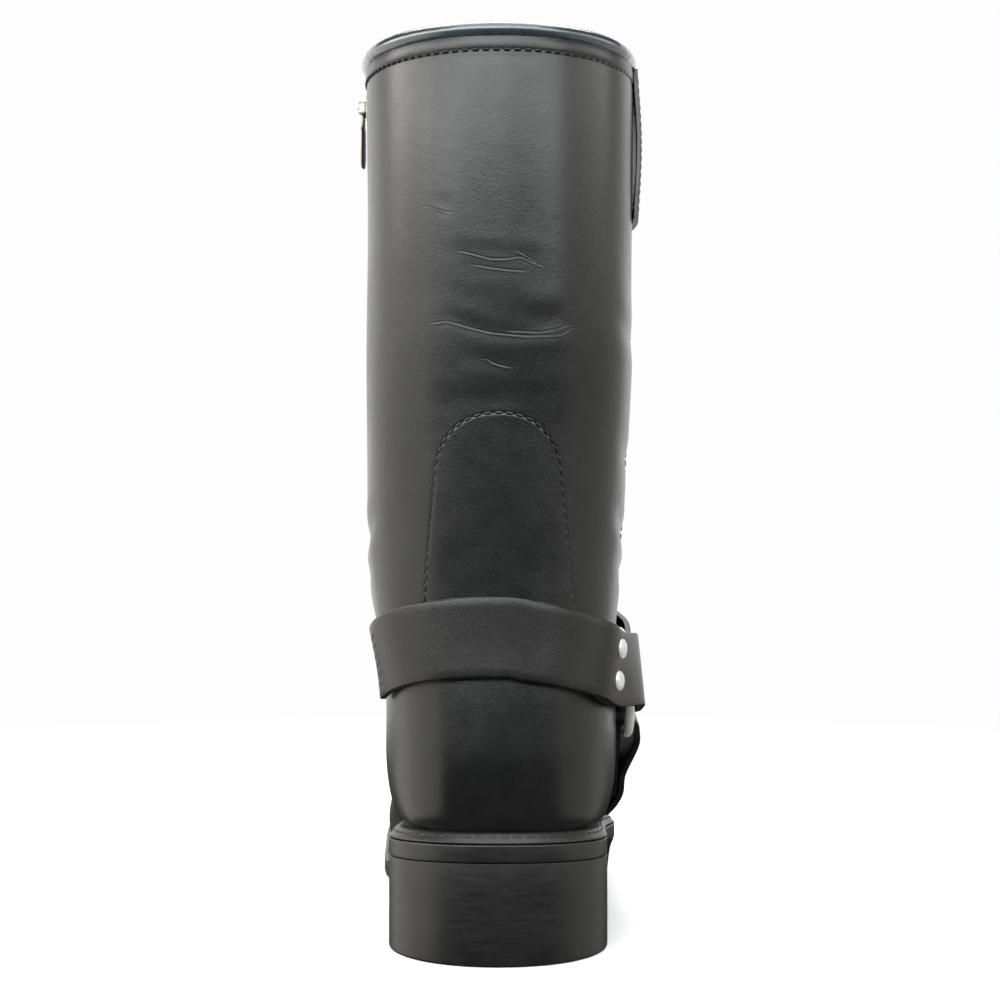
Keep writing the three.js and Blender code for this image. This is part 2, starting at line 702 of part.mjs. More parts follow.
// The band of a strap on the boot's face. It runs round the boot from one distance from the ring on
// the lateral side, where it leans, to another on the medial side.
function strapBand(angle, width, lateralStart, medialStart, lean = 0) {
  const half = (side, start, turned) => {
    const frame = new THREE.Matrix4().makeRotationX(angle * degree)
      .multiply(new THREE.Matrix4().makeRotationY(-turned * degree))
      .setPosition(0, ringForward, ringHeight);
    return block([shaftWidth, reach, width], frame, [side * (shaftWidth / 2 - gap), start + reach / 2, 0]);
  };
  return strapForm.subtract(underStrapForm)
    .intersect(half(1, lateralStart, lean).add(half(-1, medialStart, 0)));
}

function rivet(frame) {
  const head = rivetDiameter / 2;
  const shank = rivetShank / 2;
  const reachIn = 2 * strapThickness + gap;
  const profile = [[0, -reachIn], [shank, -reachIn], [shank, 0], [head, 0]];
  for (const share of rivetDomeShares) {
    profile.push([head * Math.cos(share * Math.PI / 2), rivetDome * Math.sin(share * Math.PI / 2)]);
  }
  profile.push([0, rivetDome]);
  const geometry = new THREE.LatheGeometry(profile.map(([x, y]) => new THREE.Vector2(x, y)), 12);
  return solidFromGeometry(geometry.rotateZ(-Math.PI / 2).applyMatrix4(frame));
}

// The hole that a rivet needs in the strap, with room round its shank and under its head.
function rivetHole(frame) {
  const cylinder = (diameter, length, facets) => new THREE.CylinderGeometry(diameter / 2 + gap,
    diameter / 2 + gap, length, facets);
  const shank = cylinder(rivetShank, 6 * strapThickness, 12);
  const seat = cylinder(rivetDiameter, 2 * strapThickness, 16);
  seat.translate(0, strapThickness - gap, 0);
  return [shank, seat].map((geometry) => {
    const turned = geometry.rotateZ(-Math.PI / 2).applyMatrix4(frame);
    return solidFromGeometry(turned);
  });
}

function rivetFrames(angle, distance, lean = 0) {
  return [1, -1].map((side) => {
    const [y, z] = strapSpot(angle, lean, distance, side * rivetSpacing / 2);
    return faceFrame(y, z, 1, gap + counterStep + 2 * strapThickness + 2 * gap);
  });
}

function addStrap(name, solid, frames) {
  let strap = solid.subtract(underStrapForm);
  for (const frame of frames) for (const hole of rivetHole(frame)) strap = strap.subtract(hole);
  add(name, strap, "strapLeather");
  frames.forEach((frame, i) => add(`${name}_rivet_${i + 1}`, rivet(frame), "nickel"));
}

function buildStraps() {
  const backRise = (backStrapHeight - ringHeight) / (ringForward - heelBack);
  const backAngle = 180 - Math.atan(backRise) / degree;
  const back = strapLoop(backAngle, backStrapWidth, backLoopPlaces, backStrapLean)
    .add(strapBand(backAngle, backStrapWidth, backLoopPlaces[1], backMedialStart, backStrapLean));
  addStrap("back_strap", back, rivetFrames(backAngle, backRivets, backStrapLean));
  const front = strapLoop(frontStrapAngle, frontStrapWidth, frontLoopPlaces)
    .add(strapBand(frontStrapAngle, frontStrapWidth, frontLoopPlaces[1], frontMedialStart));
  addStrap("front_strap", front, rivetFrames(frontStrapAngle, frontRivets));
  const underLoop = strapLoop(underStrapAngle, underStrapWidth, underLoopPlaces);
  const soleYs = soleShares().map((at) => soleEdges(at, 0).y);
  const low = region([-reach, ...soleYs, reach], () => -reach, (y) => weltTop(y) + gap, -reach, reach);
  addStrap("under_strap", underLoop.subtract(low), []);
}

function buildZip() {
  const tapeTop = (y) => collarAt(y) - gap;
  const strip = region([zipForward - zipTapeWidth / 2, zipForward + zipTapeWidth / 2],
    () => zipFoot - zipTapeEnd, tapeTop, -reach, 0);
  add("zip_tape", insideForm.subtract(tapeForm).intersect(strip), "cloth");
  const chainTop = collarAt(zipForward) - sliderDrop;
  const count = Math.floor((chainTop - zipFoot - toothPitch) / toothPitch);
  const rings = [];
  for (let i = 0; i < count; i += 1) {
    for (const { at, size } of toothRings) {
      const frame = faceFrame(zipForward, zipFoot + (i + at) * toothPitch, -1, -wall / 2);
      const corners = [[-1, -1], [1, -1], [1, 1], [-1, 1]].map(([out, across]) => new THREE.Vector3(
        (out * size * toothDepth) / 2, (across * size * toothLength) / 2, 0).applyMatrix4(frame));
      rings.push(corners);
    }
  }
  add("zip_teeth", loft(rings), "nickel");
  const frame = faceFrame(zipForward, chainTop - sliderLength / 2, -1, gap);
  const lug = sliderLugs;
  let slider = block([sliderThickness, sliderWidth, sliderLength], frame, [sliderThickness / 2, 0, 0]);
  slider = slider.add(block([2 * gap, toothLength, sliderLength * sliderInner], frame));
  for (const side of [-1, 1]) {
    slider = slider.add(block([lug.height, lug.width, lug.length], frame,
      [sliderThickness + lug.height / 2 - gap, side * (pullWidth / 2 - lug.width / 2), 0]));
  }
  const pivot = sliderThickness + lug.height / 2;
  const bore = new THREE.CylinderGeometry(lug.pin / 2 + gap, lug.pin / 2 + gap, sliderWidth * 2, 12)
    .translate(pivot, 0, 0).applyMatrix4(frame);
  add("zip_slider", slider.subtract(solidFromGeometry(bore)), "nickel");
  const pin = new THREE.CylinderGeometry(lug.pin / 2, lug.pin / 2, pullWidth, 12)
    .translate(pivot, 0, 0).applyMatrix4(frame);
  const neckWidth = pullWidth - 2 * lug.width - 2 * gap;
  const neck = sliderLength * pullNeck;
  const shoulder = sliderLength / 2;
  let pull = solidFromGeometry(pin);
  pull = pull.add(block([pullThickness, neckWidth, neck], frame, [pivot, 0, -neck / 2]));
  pull = pull.add(block([pullThickness, pullWidth, pullLength - shoulder], frame,
    [pivot, 0, -(pullLength + shoulder) / 2]));
  add("zip_pull", pull, "nickel");
}

// The loop for pulling the boot on: sewn down at both ends, standing off the shaft between them.
function buildPullLoop() {
  const top = collarAt(loopForward) - gap;
  const rise = (share) => loopBulge * Math.sin(Math.PI * Math.min(1, Math.max(0, share))) ** 1.5;
  add("pull_loop", patch(loopForward - loopWidth / 2, loopForward + loopWidth / 2, top - loopDrop, top, 1,
    (share) => gap + rise(share), (share) => gap + loopThickness + rise(share), 4, 12), "strapLeather");
}

buildSole();
buildUpper();
buildBinding();
buildRing();
buildStraps();
buildZip();
buildPullLoop();

export default boot;
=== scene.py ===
# Looks of the right harness boot. Sizes are in millimetres, in the frame of the CAD model:
# +X is the outer side of the foot, +Y the toe, +Z up, and the origin is under the heel's middle.
import math

import bmesh
import bpy
import numpy as np
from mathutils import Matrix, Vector
from mathutils.bvhtree import BVHTree


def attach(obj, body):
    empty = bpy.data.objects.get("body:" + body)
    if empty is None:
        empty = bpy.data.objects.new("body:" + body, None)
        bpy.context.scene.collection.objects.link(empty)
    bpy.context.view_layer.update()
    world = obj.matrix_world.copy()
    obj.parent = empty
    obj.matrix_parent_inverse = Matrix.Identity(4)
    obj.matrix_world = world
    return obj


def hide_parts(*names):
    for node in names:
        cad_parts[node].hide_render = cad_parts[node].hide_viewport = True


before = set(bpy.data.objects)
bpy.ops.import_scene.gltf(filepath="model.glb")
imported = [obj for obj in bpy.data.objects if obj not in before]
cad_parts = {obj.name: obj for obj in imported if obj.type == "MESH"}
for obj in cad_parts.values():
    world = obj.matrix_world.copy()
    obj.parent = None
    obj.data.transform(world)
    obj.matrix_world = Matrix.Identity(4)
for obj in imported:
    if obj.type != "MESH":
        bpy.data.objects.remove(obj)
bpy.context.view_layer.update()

# Sizes of the sole and the last, as in the CAD model
OUTSOLE_LENGTH = 302
BALL_WIDTH = 98.5
HEEL_WIDTH = 77
HEEL_LENGTH = 72
HEEL_HEIGHT = 34.5
OUTSOLE_THICKNESS = 5.8
TOE_SPRING = 13
WELT_HEIGHT = 3.6
INSOLE_THICKNESS = 3
INSTEP_HEIGHT = 118
ANKLE_HEIGHT = 138
BOOT_HEIGHT = 317.7
SHAFT_WIDTH = 99.5
SHAFT_DEPTH = 130
WALL = 2.5
BINDING = 4.6
STRAP = 2.4
STEP = 0.5
GAP = 0.3
HEEL_BACK = -HEEL_LENGTH / 2
ZIP_FORWARD = 42
ZIP_FOOT = 80
ZIP_SLIT = 7
SLIDER_DROP = 3.4
COUNTER_HEIGHT = 185
COUNTER_CAP = 21.5
COUNTER_FLARE = .095
COUNTER_ROUND = 2.2
COUNTER_END = 100
COLLAR_SLOPE = .07 / .99
COLLAR_BACK = BOOT_HEIGHT - BINDING - GAP
STITCH_DROP = 4.9
ROLL_DROP = .35
# How the leather swells and sinks under the collar: rise, place below the roll, and width
COLLAR_PUFF = ((.75, 2.2, 1.25), (-.3, STITCH_DROP, .9), (-.35, -.6, 1.0))
FEATHER = (-.7, 1.6)
LEATHER = 1.7
SIDE_SEAM = 29.5
SIDE_SEAM_SHIFT = 4.5
SIDE_SEAM_BEND = (165, 225)
SIDE_STITCH = 1.9
ZIP_STITCH = ZIP_SLIT / 2 + 3.2
# Fine folds at the back, as seen from behind: X and Z
FINE_FOLDS = [
    [(-13, 240), (-6, 238), (-2.7, 237), (3.3, 237), (7.3, 238), (13.3, 235.3)],
    [(-7.6, 235), (-2.7, 234), (3.3, 233.3), (9, 233)],
    [(6.6, 239.7), (11.6, 237), (14, 235)],
    [(-22.6, 216.2), (-17.6, 216.5), (-13.3, 215.1), (-9.3, 213.8), (-2.7, 212.1), (3.3, 211.5),
     (10, 211.1), (16.6, 211.5), (21.6, 212.1), (25, 214.5)],
    [(3.3, 212.7), (8, 212.6), (14, 212.5), (20, 213.8), (24, 215.7)],
    [(-4.3, 203.4), (-1, 201.4), (4, 200.4)],
    [(-25, 256.5), (-16.6, 253.2)],
]


def table(names, rows):
    return {name: np.array(column, float) for name, column in zip(names.split(), zip(*rows))}


SOLE_OUTLINE = table("at heel ball shift", [
    (0, 1, 0, 0), (.13, 1, 0, 0), (.24, .97, .02, .02), (.33, .6, .34, .056), (.43, .3, .64, .022),
    (.53, 0, .955, -.014), (.64, 0, .99, -.02), (.75, 0, .98, -.04), (.86, 0, .93, -.065),
    (1, 0, .84, -.085)])
SOLE_PROFILE = table("at heel spring", [
    (0, 1, 0), (.13, .91, 0), (.24, .83, 0), (.33, .75, 0), (.39, .58, 0), (.44, .32, 0),
    (.485, .08, 0), (.52, 0, 0), (.68, 0, 0), (.77, 0, .14), (.86, 0, .42), (1, 0, 1)])
# The last's sections from the collar down the heel and on to the toe, as shares of the main sizes
SHAFT_ROWS = [
    (1.12, .008, .99, .07, .498, .498, .47, .5), (.85, .008, .985, .07, .497, .503, .47, .5),
    (.6, .018, .97, .07, .489, .501, .47, .5), (.36, .034, .93, .08, .494, .497, .47, .5),
    (.17, .046, .9, .13, .492, .479, .47, .5), (0, .05, .89, .185, .486, .462, .46, .5)]
FOOT_ROWS = [
    (.0166, .504, .42, 1.22, .478, .448, 0, .44, .5), (.005, .301, .457, 1.093, .432, .432, 0, .41, .5),
    (.002, .156, .49, 1, .422, .437, 0, .38, .52), (.0166, .025, .52, .924, .42, .44, 0, .34, .54),
    (.06, -.028, .55, .856, .41, .43, 0, .3, .55), (.149, -.028, .583, .788, .4, .425, 0, .28, .55),
    (.265, -.028, .6225, .72, .4, .43, 0, .27, .55), (.381, -.028, .669, .652, .44, .455, 0, .27, .55),
    (.497, -.028, .715, .593, .48, .47, -.005, .27, .54),
    (.596, -.028, .758, .551, .475, .465, -.02, .27, .52),
    (.689, -.028, .805, .522, .462, .447, -.035, .27, .5),
    (.778, -.028, .848, .503, .435, .42, -.055, .27, .48)]
TOE_END = .982
TOE_SHIFT = -.08
SOLE_OVER = -.028


def between(rows, key, at, level=False):
    """A smooth value between the rows of a table."""
    x, v = rows["at"], rows[key]
    at = np.clip(at, x[0], x[-1])
    slopes = np.diff(v) / np.diff(x)
    before, after = slopes[:-1], slopes[1:]
    if level:
        total = np.where(before + after == 0, 1, before + after)
        inner = np.where(before * after <= 0, 0, 2 * before * after / total)
    else:
        inner = (before + after) / 2
    tangent = np.concatenate([slopes[:1], inner, slopes[-1:]])
    i = np.clip(np.searchsorted(x, at, side="right") - 1, 0, len(x) - 2)
    span = x[i + 1] - x[i]
    t = (at - x[i]) / span
    rise = v[i + 1] - v[i]
    first = tangent[i] * span
    second = tangent[i + 1] * span
    return v[i] + t * (first + t * (3 * rise - 2 * first - second + t * (first + second - 2 * rise)))


def sole_bottom(y):
    at = (np.asarray(y, float) - HEEL_BACK) / OUTSOLE_LENGTH
    return (HEEL_HEIGHT * between(SOLE_PROFILE, "heel", at, True)
            + TOE_SPRING * between(SOLE_PROFILE, "spring", at, True))


def sole_top(y):
    return sole_bottom(y) + OUTSOLE_THICKNESS


def sole_edges(at, inset):
    """Y and the left and right edge of the sole's outline at shares of its length."""
    at = np.asarray(at, float)
    width = (HEEL_WIDTH * between(SOLE_OUTLINE, "heel", at)
             + BALL_WIDTH * between(SOLE_OUTLINE, "ball", at))
    heel = 1 - np.clip(1 - at / .12, 0, 1) ** 2.1
    toe = 1 - np.clip(1 - (1 - at) / .25, 0, 1) ** 2.3
    half = (width / 2 - inset) * heel ** (1 / 2.1) * toe ** (1 / 2.3)
    middle = BALL_WIDTH * between(SOLE_OUTLINE, "shift", at)
    y = HEEL_BACK + OUTSOLE_LENGTH / 2 + (at - .5) * (OUTSOLE_LENGTH - 2 * inset)
    return y, middle - half, middle + half


def last_table():
    rows = []
    for up, back, depth, rise, medial, lateral, low, high in SHAFT_ROWS:
        back_y = HEEL_BACK + back * SHAFT_DEPTH
        back_z = ANKLE_HEIGHT + up * (BOOT_HEIGHT - ANKLE_HEIGHT)
        rows.append((len(rows), back_y, back_z, back_y + depth * SHAFT_DEPTH,
                     back_z + rise * SHAFT_DEPTH, medial * SHAFT_WIDTH, lateral * SHAFT_WIDTH,
                     0, low, high))
    for heel, over, toe, top, medial, lateral, shift, low, high in FOOT_ROWS:
        back_y = HEEL_BACK + heel * OUTSOLE_LENGTH
        rows.append((len(rows), back_y, float(sole_top(back_y)) + over * ANKLE_HEIGHT,
                     HEEL_BACK + toe * OUTSOLE_LENGTH, top * INSTEP_HEIGHT, medial * BALL_WIDTH,
                     lateral * BALL_WIDTH, shift * BALL_WIDTH, low, high))
    return table("at back_y back_z front_y front_z medial lateral shift low high", rows)


LAST = last_table()
CAP = len(LAST["at"]) - 1
LAST_END = CAP + 1


def section(at):
    """The last's sections at places along it. Past the last row they close to the toe."""
    at = np.asarray(at, float)
    row = {key: between(LAST, key, np.minimum(at, CAP)) for key in LAST if key != "at"}
    turn = np.clip(at - CAP, 0, 1) * math.pi / 2
    close = np.maximum(np.cos(turn), 1e-9)
    lean = row["front_y"] - row["back_y"]
    height = row["front_z"] - row["back_z"]
    row["shift"] = row["shift"] + (TOE_SHIFT * BALL_WIDTH - row["shift"]) * np.sin(turn)
    row["back_y"] = row["back_y"] + (HEEL_BACK + TOE_END * OUTSOLE_LENGTH - row["back_y"]) * np.sin(turn)
    floor = sole_top(row["back_y"]) + SOLE_OVER * ANKLE_HEIGHT
    row["back_z"] = np.where(turn > 0, floor, row["back_z"])
    row["front_y"] = row["back_y"] + lean * close
    row["front_z"] = row["back_z"] + height * close ** .8
    row["medial"] = row["medial"] * close ** .85
    row["lateral"] = row["lateral"] * close ** .85
    return row


def in_section(row, angle):
    along = (1 - np.cos(angle)) / 2
    low, high = row["low"], row["high"]
    widest = low / (low + high)
    full = (along ** low * (1 - along) ** high) / (widest ** low * (1 - widest) ** high)
    half = np.where(np.sin(angle) >= 0, row["lateral"], -row["medial"])
    return np.stack([row["shift"] + half * full,
                     row["back_y"] + along * (row["front_y"] - row["back_y"]),
                     row["back_z"] + along * (row["front_z"] - row["back_z"])], -1)


def unit(v):
    return v / np.maximum(np.linalg.norm(v, axis=-1, keepdims=True), 1e-12)


def last_points(at, angle, offset=0):
    """Points of the boot's outer face, moved out along its normal. at and angle are arrays."""
    at, angle = np.broadcast_arrays(np.asarray(at, float), np.asarray(angle, float))
    step = .02
    points = in_section(section(at), angle)
    along = (in_section(section(np.minimum(at + step, LAST_END)), angle)
             - in_section(section(np.maximum(at - step, 0)), angle))
    around = in_section(section(at), angle + step) - in_section(section(at), angle - step)
    normals = unit(np.cross(along, around))
    normals[at >= LAST_END - 1e-6] = (0, 1, 0)
    return points + normals * offset


def smooth(places, steps):
    """A centripetal Catmull-Rom curve through places, with the same steps between each two.
    The first three columns are the points, and any others follow them."""
    p = np.asarray(places, float)
    p = np.vstack([2 * p[0] - p[1], p, 2 * p[-1] - p[-2]])
    out = []
    for i in range(1, len(p) - 2):
        p0, p1, p2, p3 = p[i - 1:i + 3]
        t1 = max(np.linalg.norm(p1[:3] - p0[:3]), 1e-6) ** .5
        t2 = t1 + max(np.linalg.norm(p2[:3] - p1[:3]), 1e-6) ** .5
        t3 = t2 + max(np.linalg.norm(p3[:3] - p2[:3]), 1e-6) ** .5
        t = np.linspace(t1, t2, steps, endpoint=False)[:, None]
        a1 = ((t1 - t) * p0 + t * p1) / t1
        a2 = ((t2 - t) * p1 + (t - t1) * p2) / (t2 - t1)
        a3 = ((t3 - t) * p2 + (t - t2) * p3) / (t3 - t2)
        b1 = ((t2 - t) * a1 + t * a2) / t2
        b2 = ((t3 - t) * a2 + (t - t1) * a3) / (t3 - t1)
        out.extend(((t2 - t) * b1 + (t - t1) * b2) / (t2 - t1))
    out.append(p[-2])
    return np.array(out)


def quads(rows, count, wrap=False, close=False, skip=()):
    """Faces of a grid of points. wrap joins its last column to the first, close its last row."""
    faces = []
    for r in range(rows if close else rows - 1):
        for i in range(count if wrap else count - 1):
            if (r, i) in skip:
                continue
            a, b = r * count, ((r + 1) % rows) * count
            j = (i + 1) % count
            faces.append((a + i, a + j, b + j, b + i))
    return faces


def placed(name, data):
    obj = bpy.data.objects.new(name, data)
    bpy.context.scene.collection.objects.link(obj)
    return obj


def piece(name, points, faces, material, slot, body="boot", nodes=(), sharp=35, values=None):
    """A closed mesh in metres from points in millimetres, riding on a body."""
    mesh = bpy.data.meshes.new(name)
    mesh.from_pydata((np.asarray(points, float) * .001).tolist(), [], [tuple(f) for f in faces])
    for key, numbers in (values or {}).items():
        layer = mesh.attributes.new(key, "FLOAT", "POINT")
        layer.data.foreach_set("value", np.asarray(numbers, np.float32))
    bm = bmesh.new()
    bm.from_mesh(mesh)
    bmesh.ops.remove_doubles(bm, verts=bm.verts, dist=2e-6)
    bmesh.ops.dissolve_degenerate(bm, edges=bm.edges, dist=1e-6)
    bmesh.ops.recalc_face_normals(bm, faces=bm.faces)
    limit = math.radians(sharp)
    for face in bm.faces:
        face.smooth = True
    for edge in bm.edges:
        edge.smooth = not edge.is_manifold or edge.calc_face_angle(0) < limit
    bm.to_mesh(mesh)
    bm.free()
    mesh.materials.append(material)
    obj = placed(name, mesh)
    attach(obj, body)
    if nodes:
        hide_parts(*nodes)
    return obj


def loft(rings):
    """Points and faces of a solid through rings of points."""
    rings = np.asarray(rings, float)
    rows, count = rings.shape[:2]
    points = rings.reshape(-1, 3)
    faces = quads(rows, count, wrap=True)
    faces.append(tuple(range(count))[::-1])
    faces.append(tuple(range((rows - 1) * count, rows * count)))
    return points, faces


def slab(outer, inner):
    """A sheet with thickness between two grids of points, open along its four sides."""
    rows, count = outer.shape[:2]
    points = np.vstack([outer.reshape(-1, 3), inner.reshape(-1, 3)])
    size = rows * count
    faces = quads(rows, count)
    faces += [tuple(i + size for i in reversed(f)) for f in quads(rows, count)]
    rim = [(0, c) for c in range(count)] + [(r, count - 1) for r in range(1, rows)]
    rim += [(rows - 1, c) for c in range(count - 2, -1, -1)] + [(r, 0) for r in range(rows - 2, 0, -1)]
    ids = [r * count + c for r, c in rim]
    for a, b in zip(ids, ids[1:] + ids[:1]):
        faces.append((b, a, a + size, b + size))
    return points, faces


def joined(parts):
    """One list of points and faces from several."""
    points, faces, start = [], [], 0
    for part_points, part_faces in parts:
        points.append(np.asarray(part_points, float))
        faces += [tuple(i + start for i in f) for f in part_faces]
        start += len(part_points)
    return np.vstack(points), faces


def nearest(point):
    """The place on the boot's smooth skin that is nearest to a point, and the skin's normal."""
    spot, normal, _, _ = skin.find_nearest(Vector(point))
    return np.array(spot), np.array(normal)


def cast(start, direction):
    """Where a ray from inside the boot leaves its skin."""
    spot, normal, _, _ = skin.ray_cast(Vector(start), Vector(direction))
    return np.array(spot), np.array(normal)


def along_path(path, pitch):
    """Places at an even pitch on a path, with their directions."""
    path = np.asarray(path, float)
    lengths = np.concatenate([[0], np.cumsum(np.linalg.norm(np.diff(path, axis=0), axis=1))])
    count = max(1, int(lengths[-1] / pitch))
    stations = (np.arange(count) + .5) * lengths[-1] / count

    def at(stations):
        return np.stack([np.interp(stations, lengths, path[:, k]) for k in range(3)], -1)

    return at(stations), unit(at(stations + .4) - at(stations - .4))


def pebble(centre, along, out, size, power=2.6, around=10, rows=7):
    """A small rounded body, its size given along, across and out."""
    across = np.cross(out, along)
    rings = []
    for i in range(rows):
        turn = math.pi * (i + .02) / (rows - 1 + .04) - math.pi / 2
        width = max(math.cos(turn), 0) ** (2 / power)
        shift = math.copysign(abs(math.sin(turn)) ** (2 / power), math.sin(turn))
        phis = [2 * math.pi * k / around for k in range(around)]
        rings.append([centre + along * shift * size[0] / 2 + across * math.cos(phi) * width * size[1] / 2
                      + out * math.sin(phi) * width * size[2] / 2 for phi in phis])
    return loft(rings)


def stitches(name, rows, pitch, size, slot, sink=.1):
    """Rows of stitches. Each row is a path on the leather and the leather's normals along it."""
    parts = []
    for path, normals in rows:
        places, tangents = along_path(path, pitch)
        for place, tangent in zip(places, tangents):
            normal = normals[np.argmin(np.linalg.norm(path - place, axis=1))]
            tangent = unit(tangent - normal * (tangent @ normal))
            parts.append(pebble(place - normal * sink, tangent, normal, size, 2.8, 8, 6))
    points, faces = joined(parts)
    piece(name, points, faces, black_thread, slot)


class Shader:
    """A material and short calls for the nodes that feed its shader. Heights are in millimetres."""

    def __init__(self, name, **values):
        self.material = bpy.data.materials.new(name)
        self.material.use_nodes = True
        self.tree = self.material.node_tree
        self.bsdf = self.tree.nodes["Principled BSDF"]
        for key, value in values.items():
            self.bsdf.inputs[key.replace("_", " ")].default_value = value
        self.place = self.node("ShaderNodeTexCoord").outputs["Object"]

    def node(self, kind, inputs=None, **settings):
        made = self.tree.nodes.new(kind)
        for key, value in settings.items():
            setattr(made, key, value)
        for key, value in (inputs or {}).items():
            self.feed(made.inputs[key], value)
        return made

    def feed(self, socket, value):
        if isinstance(value, bpy.types.NodeSocket):
            self.tree.links.new(value, socket)
        else:
            socket.default_value = value

    def math(self, operation, a, b=0.0):
        return self.node("ShaderNodeMath", {0: a, 1: b}, operation=operation).outputs[0]

    def stretched(self, scale):
        return self.node("ShaderNodeMapping", {"Vector": self.place, "Scale": scale}).outputs[0]

    def noise(self, scale, detail=3.0, roughness=.5, place=None):
        return self.node("ShaderNodeTexNoise", {"Vector": place or self.place, "Scale": scale,
                                                "Detail": detail, "Roughness": roughness}).outputs[0]

    def cells(self, scale, place):
        return self.node("ShaderNodeTexVoronoi", {"Vector": place, "Scale": scale},
                         feature="SMOOTH_F1").outputs["Distance"]

    def number(self, name):
        return self.node("ShaderNodeAttribute", attribute_name=name).outputs["Fac"]

    def span(self, value, low, high, to_low=0.0, to_high=1.0):
        return self.node("ShaderNodeMapRange", {"Value": value, "From Min": low, "From Max": high,
                                                "To Min": to_low, "To Max": to_high}).outputs[0]

    def mix(self, factor, a, b):
        made = self.node("ShaderNodeMix", data_type="RGBA")
        self.feed(made.inputs[0], factor)
        self.feed(made.inputs[6], (*a, 1) if isinstance(a, tuple) else a)
        self.feed(made.inputs[7], (*b, 1) if isinstance(b, tuple) else b)
        return made.outputs[2]

    def sum(self, *heights):
        total = heights[0]
        for height in heights[1:]:
            total = self.math("ADD", total, height)
        return total

    def times(self, value, factor):
        return self.math("MULTIPLY", value, factor)

    def axis(self, name):
        """A coordinate in millimetres."""
        return self.times(self.node("ShaderNodeSeparateXYZ", {0: self.place}).outputs[name], 1000)

    def groove(self, distance, width, depth, where=None):
        """A soft groove where a distance is zero, and only where a mask is 1."""
        share = self.times(distance, 1 / width)
        trough = self.math("EXPONENT", self.times(self.times(share, share), -1))
        return self.times(trough if where is None else self.times(trough, where), -depth)

    def done(self, colour, roughness, height):
        bump = self.node("ShaderNodeBump", {"Height": height, "Strength": 1.0, "Distance": .001})
        self.feed(self.bsdf.inputs["Base Color"], colour)
        self.feed(self.bsdf.inputs["Roughness"], roughness)
        self.feed(self.bsdf.inputs["Normal"], bump.outputs[0])
        return self.material


def leather(name, dark, light, gloss, grain=.03, cell=1050, seams=None, coat=.12, shine=.5):
    """Smooth oiled leather: a fine pebble, faint pores and creases, and patches of wear."""
    s = Shader(name, Coat_Weight=coat, Coat_Roughness=.26, Specular_IOR_Level=shine)
    patches = s.noise(22, 4, .6)
    blotches = s.noise(160, 3, .6)
    colour = s.mix(s.span(s.sum(patches, s.times(blotches, .35)), .5, .85), dark, light)
    roughness = s.span(s.sum(patches, s.times(blotches, .3)), .45, .85, gloss - .04, gloss + .05)
    pebbles = s.times(s.cells(cell, s.stretched((1, 1, 1.25))), grain)
    height = s.sum(pebbles, s.times(s.noise(2600, 2), grain * .4),
                   s.times(s.noise(190, 3, .65), grain * 1.6), s.times(s.noise(55, 2), grain * 5))
    if seams:
        height = s.sum(height, *seams(s))
    return s.done(colour, roughness, height)


def boot_seams(s):
    """The grooves that the upper's seams draw the leather into."""
    x, y, z = s.axis("X"), s.axis("Y"), s.axis("Z")
    counter = s.number("counter")
    collar = s.math("SUBTRACT", z, s.sum(s.times(y, COLLAR_SLOPE), COLLAR_BACK - STITCH_DROP
                                         - COLLAR_SLOPE * HEEL_BACK))
    lateral = s.span(x, 20, 21)
    side = s.math("SUBTRACT", y, s.span(z, *SIDE_SEAM_BEND, SIDE_SEAM, SIDE_SEAM + SIDE_SEAM_SHIFT))
    medial = s.times(s.span(x, -20, -21), s.span(z, ZIP_FOOT - 4, ZIP_FOOT - 3))
    from_zip = s.math("ABSOLUTE", s.math("SUBTRACT", y, ZIP_FORWARD))
    zip_edge = s.math("SUBTRACT", from_zip, ZIP_STITCH)
    folds = []
    for i, line in enumerate(FINE_FOLDS):
        fold = s.number(f"fold_{i}")
        start, end = line[0][0], line[-1][0]
        along = s.times(s.span(x, start - 2, start + 3), s.span(x, end + 2, end - 3))
        where = s.times(along, s.span(y, 31, 30))
        folds += [s.groove(fold, .3, .07, where), s.groove(s.sum(fold, .6), .35, -.045, where)]
    return [*folds, s.groove(counter, .55, .14), s.groove(collar, .7, .2),
            s.groove(side, .7, .25, lateral), s.groove(side, 2.4, .1, lateral),
            s.groove(zip_edge, .7, .2, medial)]


def rubber(name, dark, light):
    """Matt rubber with a faint trimmed grain that runs along the edge."""
    s = Shader(name, Coat_Weight=.3, Coat_Roughness=.38)
    lines = s.noise(700, 3, .6, s.stretched((.12, .12, 1)))
    dust = s.noise(60, 4, .65)
    colour = s.mix(s.span(s.sum(dust, s.times(lines, .5)), .55, 1), dark, light)
    height = s.sum(s.times(lines, .05), s.times(s.noise(2200, 2), .012), s.times(s.noise(90, 2), .12))
    return s.done(colour, s.span(lines, .3, .7, .36, .5), height)


def nickel(name, colour, rough, metal):
    """Satin plated metal with fine scratches and a little tarnish."""
    s = Shader(name, Metallic=metal)
    haze = s.noise(240, 4, .7)
    scratches = s.noise(2400, 2, .6, s.stretched((1, 1, .08)))
    tone = s.mix(s.span(haze, .35, .75), colour, tuple(c * .78 for c in colour))
    height = s.sum(s.times(scratches, .004), s.times(haze, .03))
    return s.done(tone, s.span(s.sum(haze, s.times(scratches, .3)), .45, .9, rough, rough + .16), height)


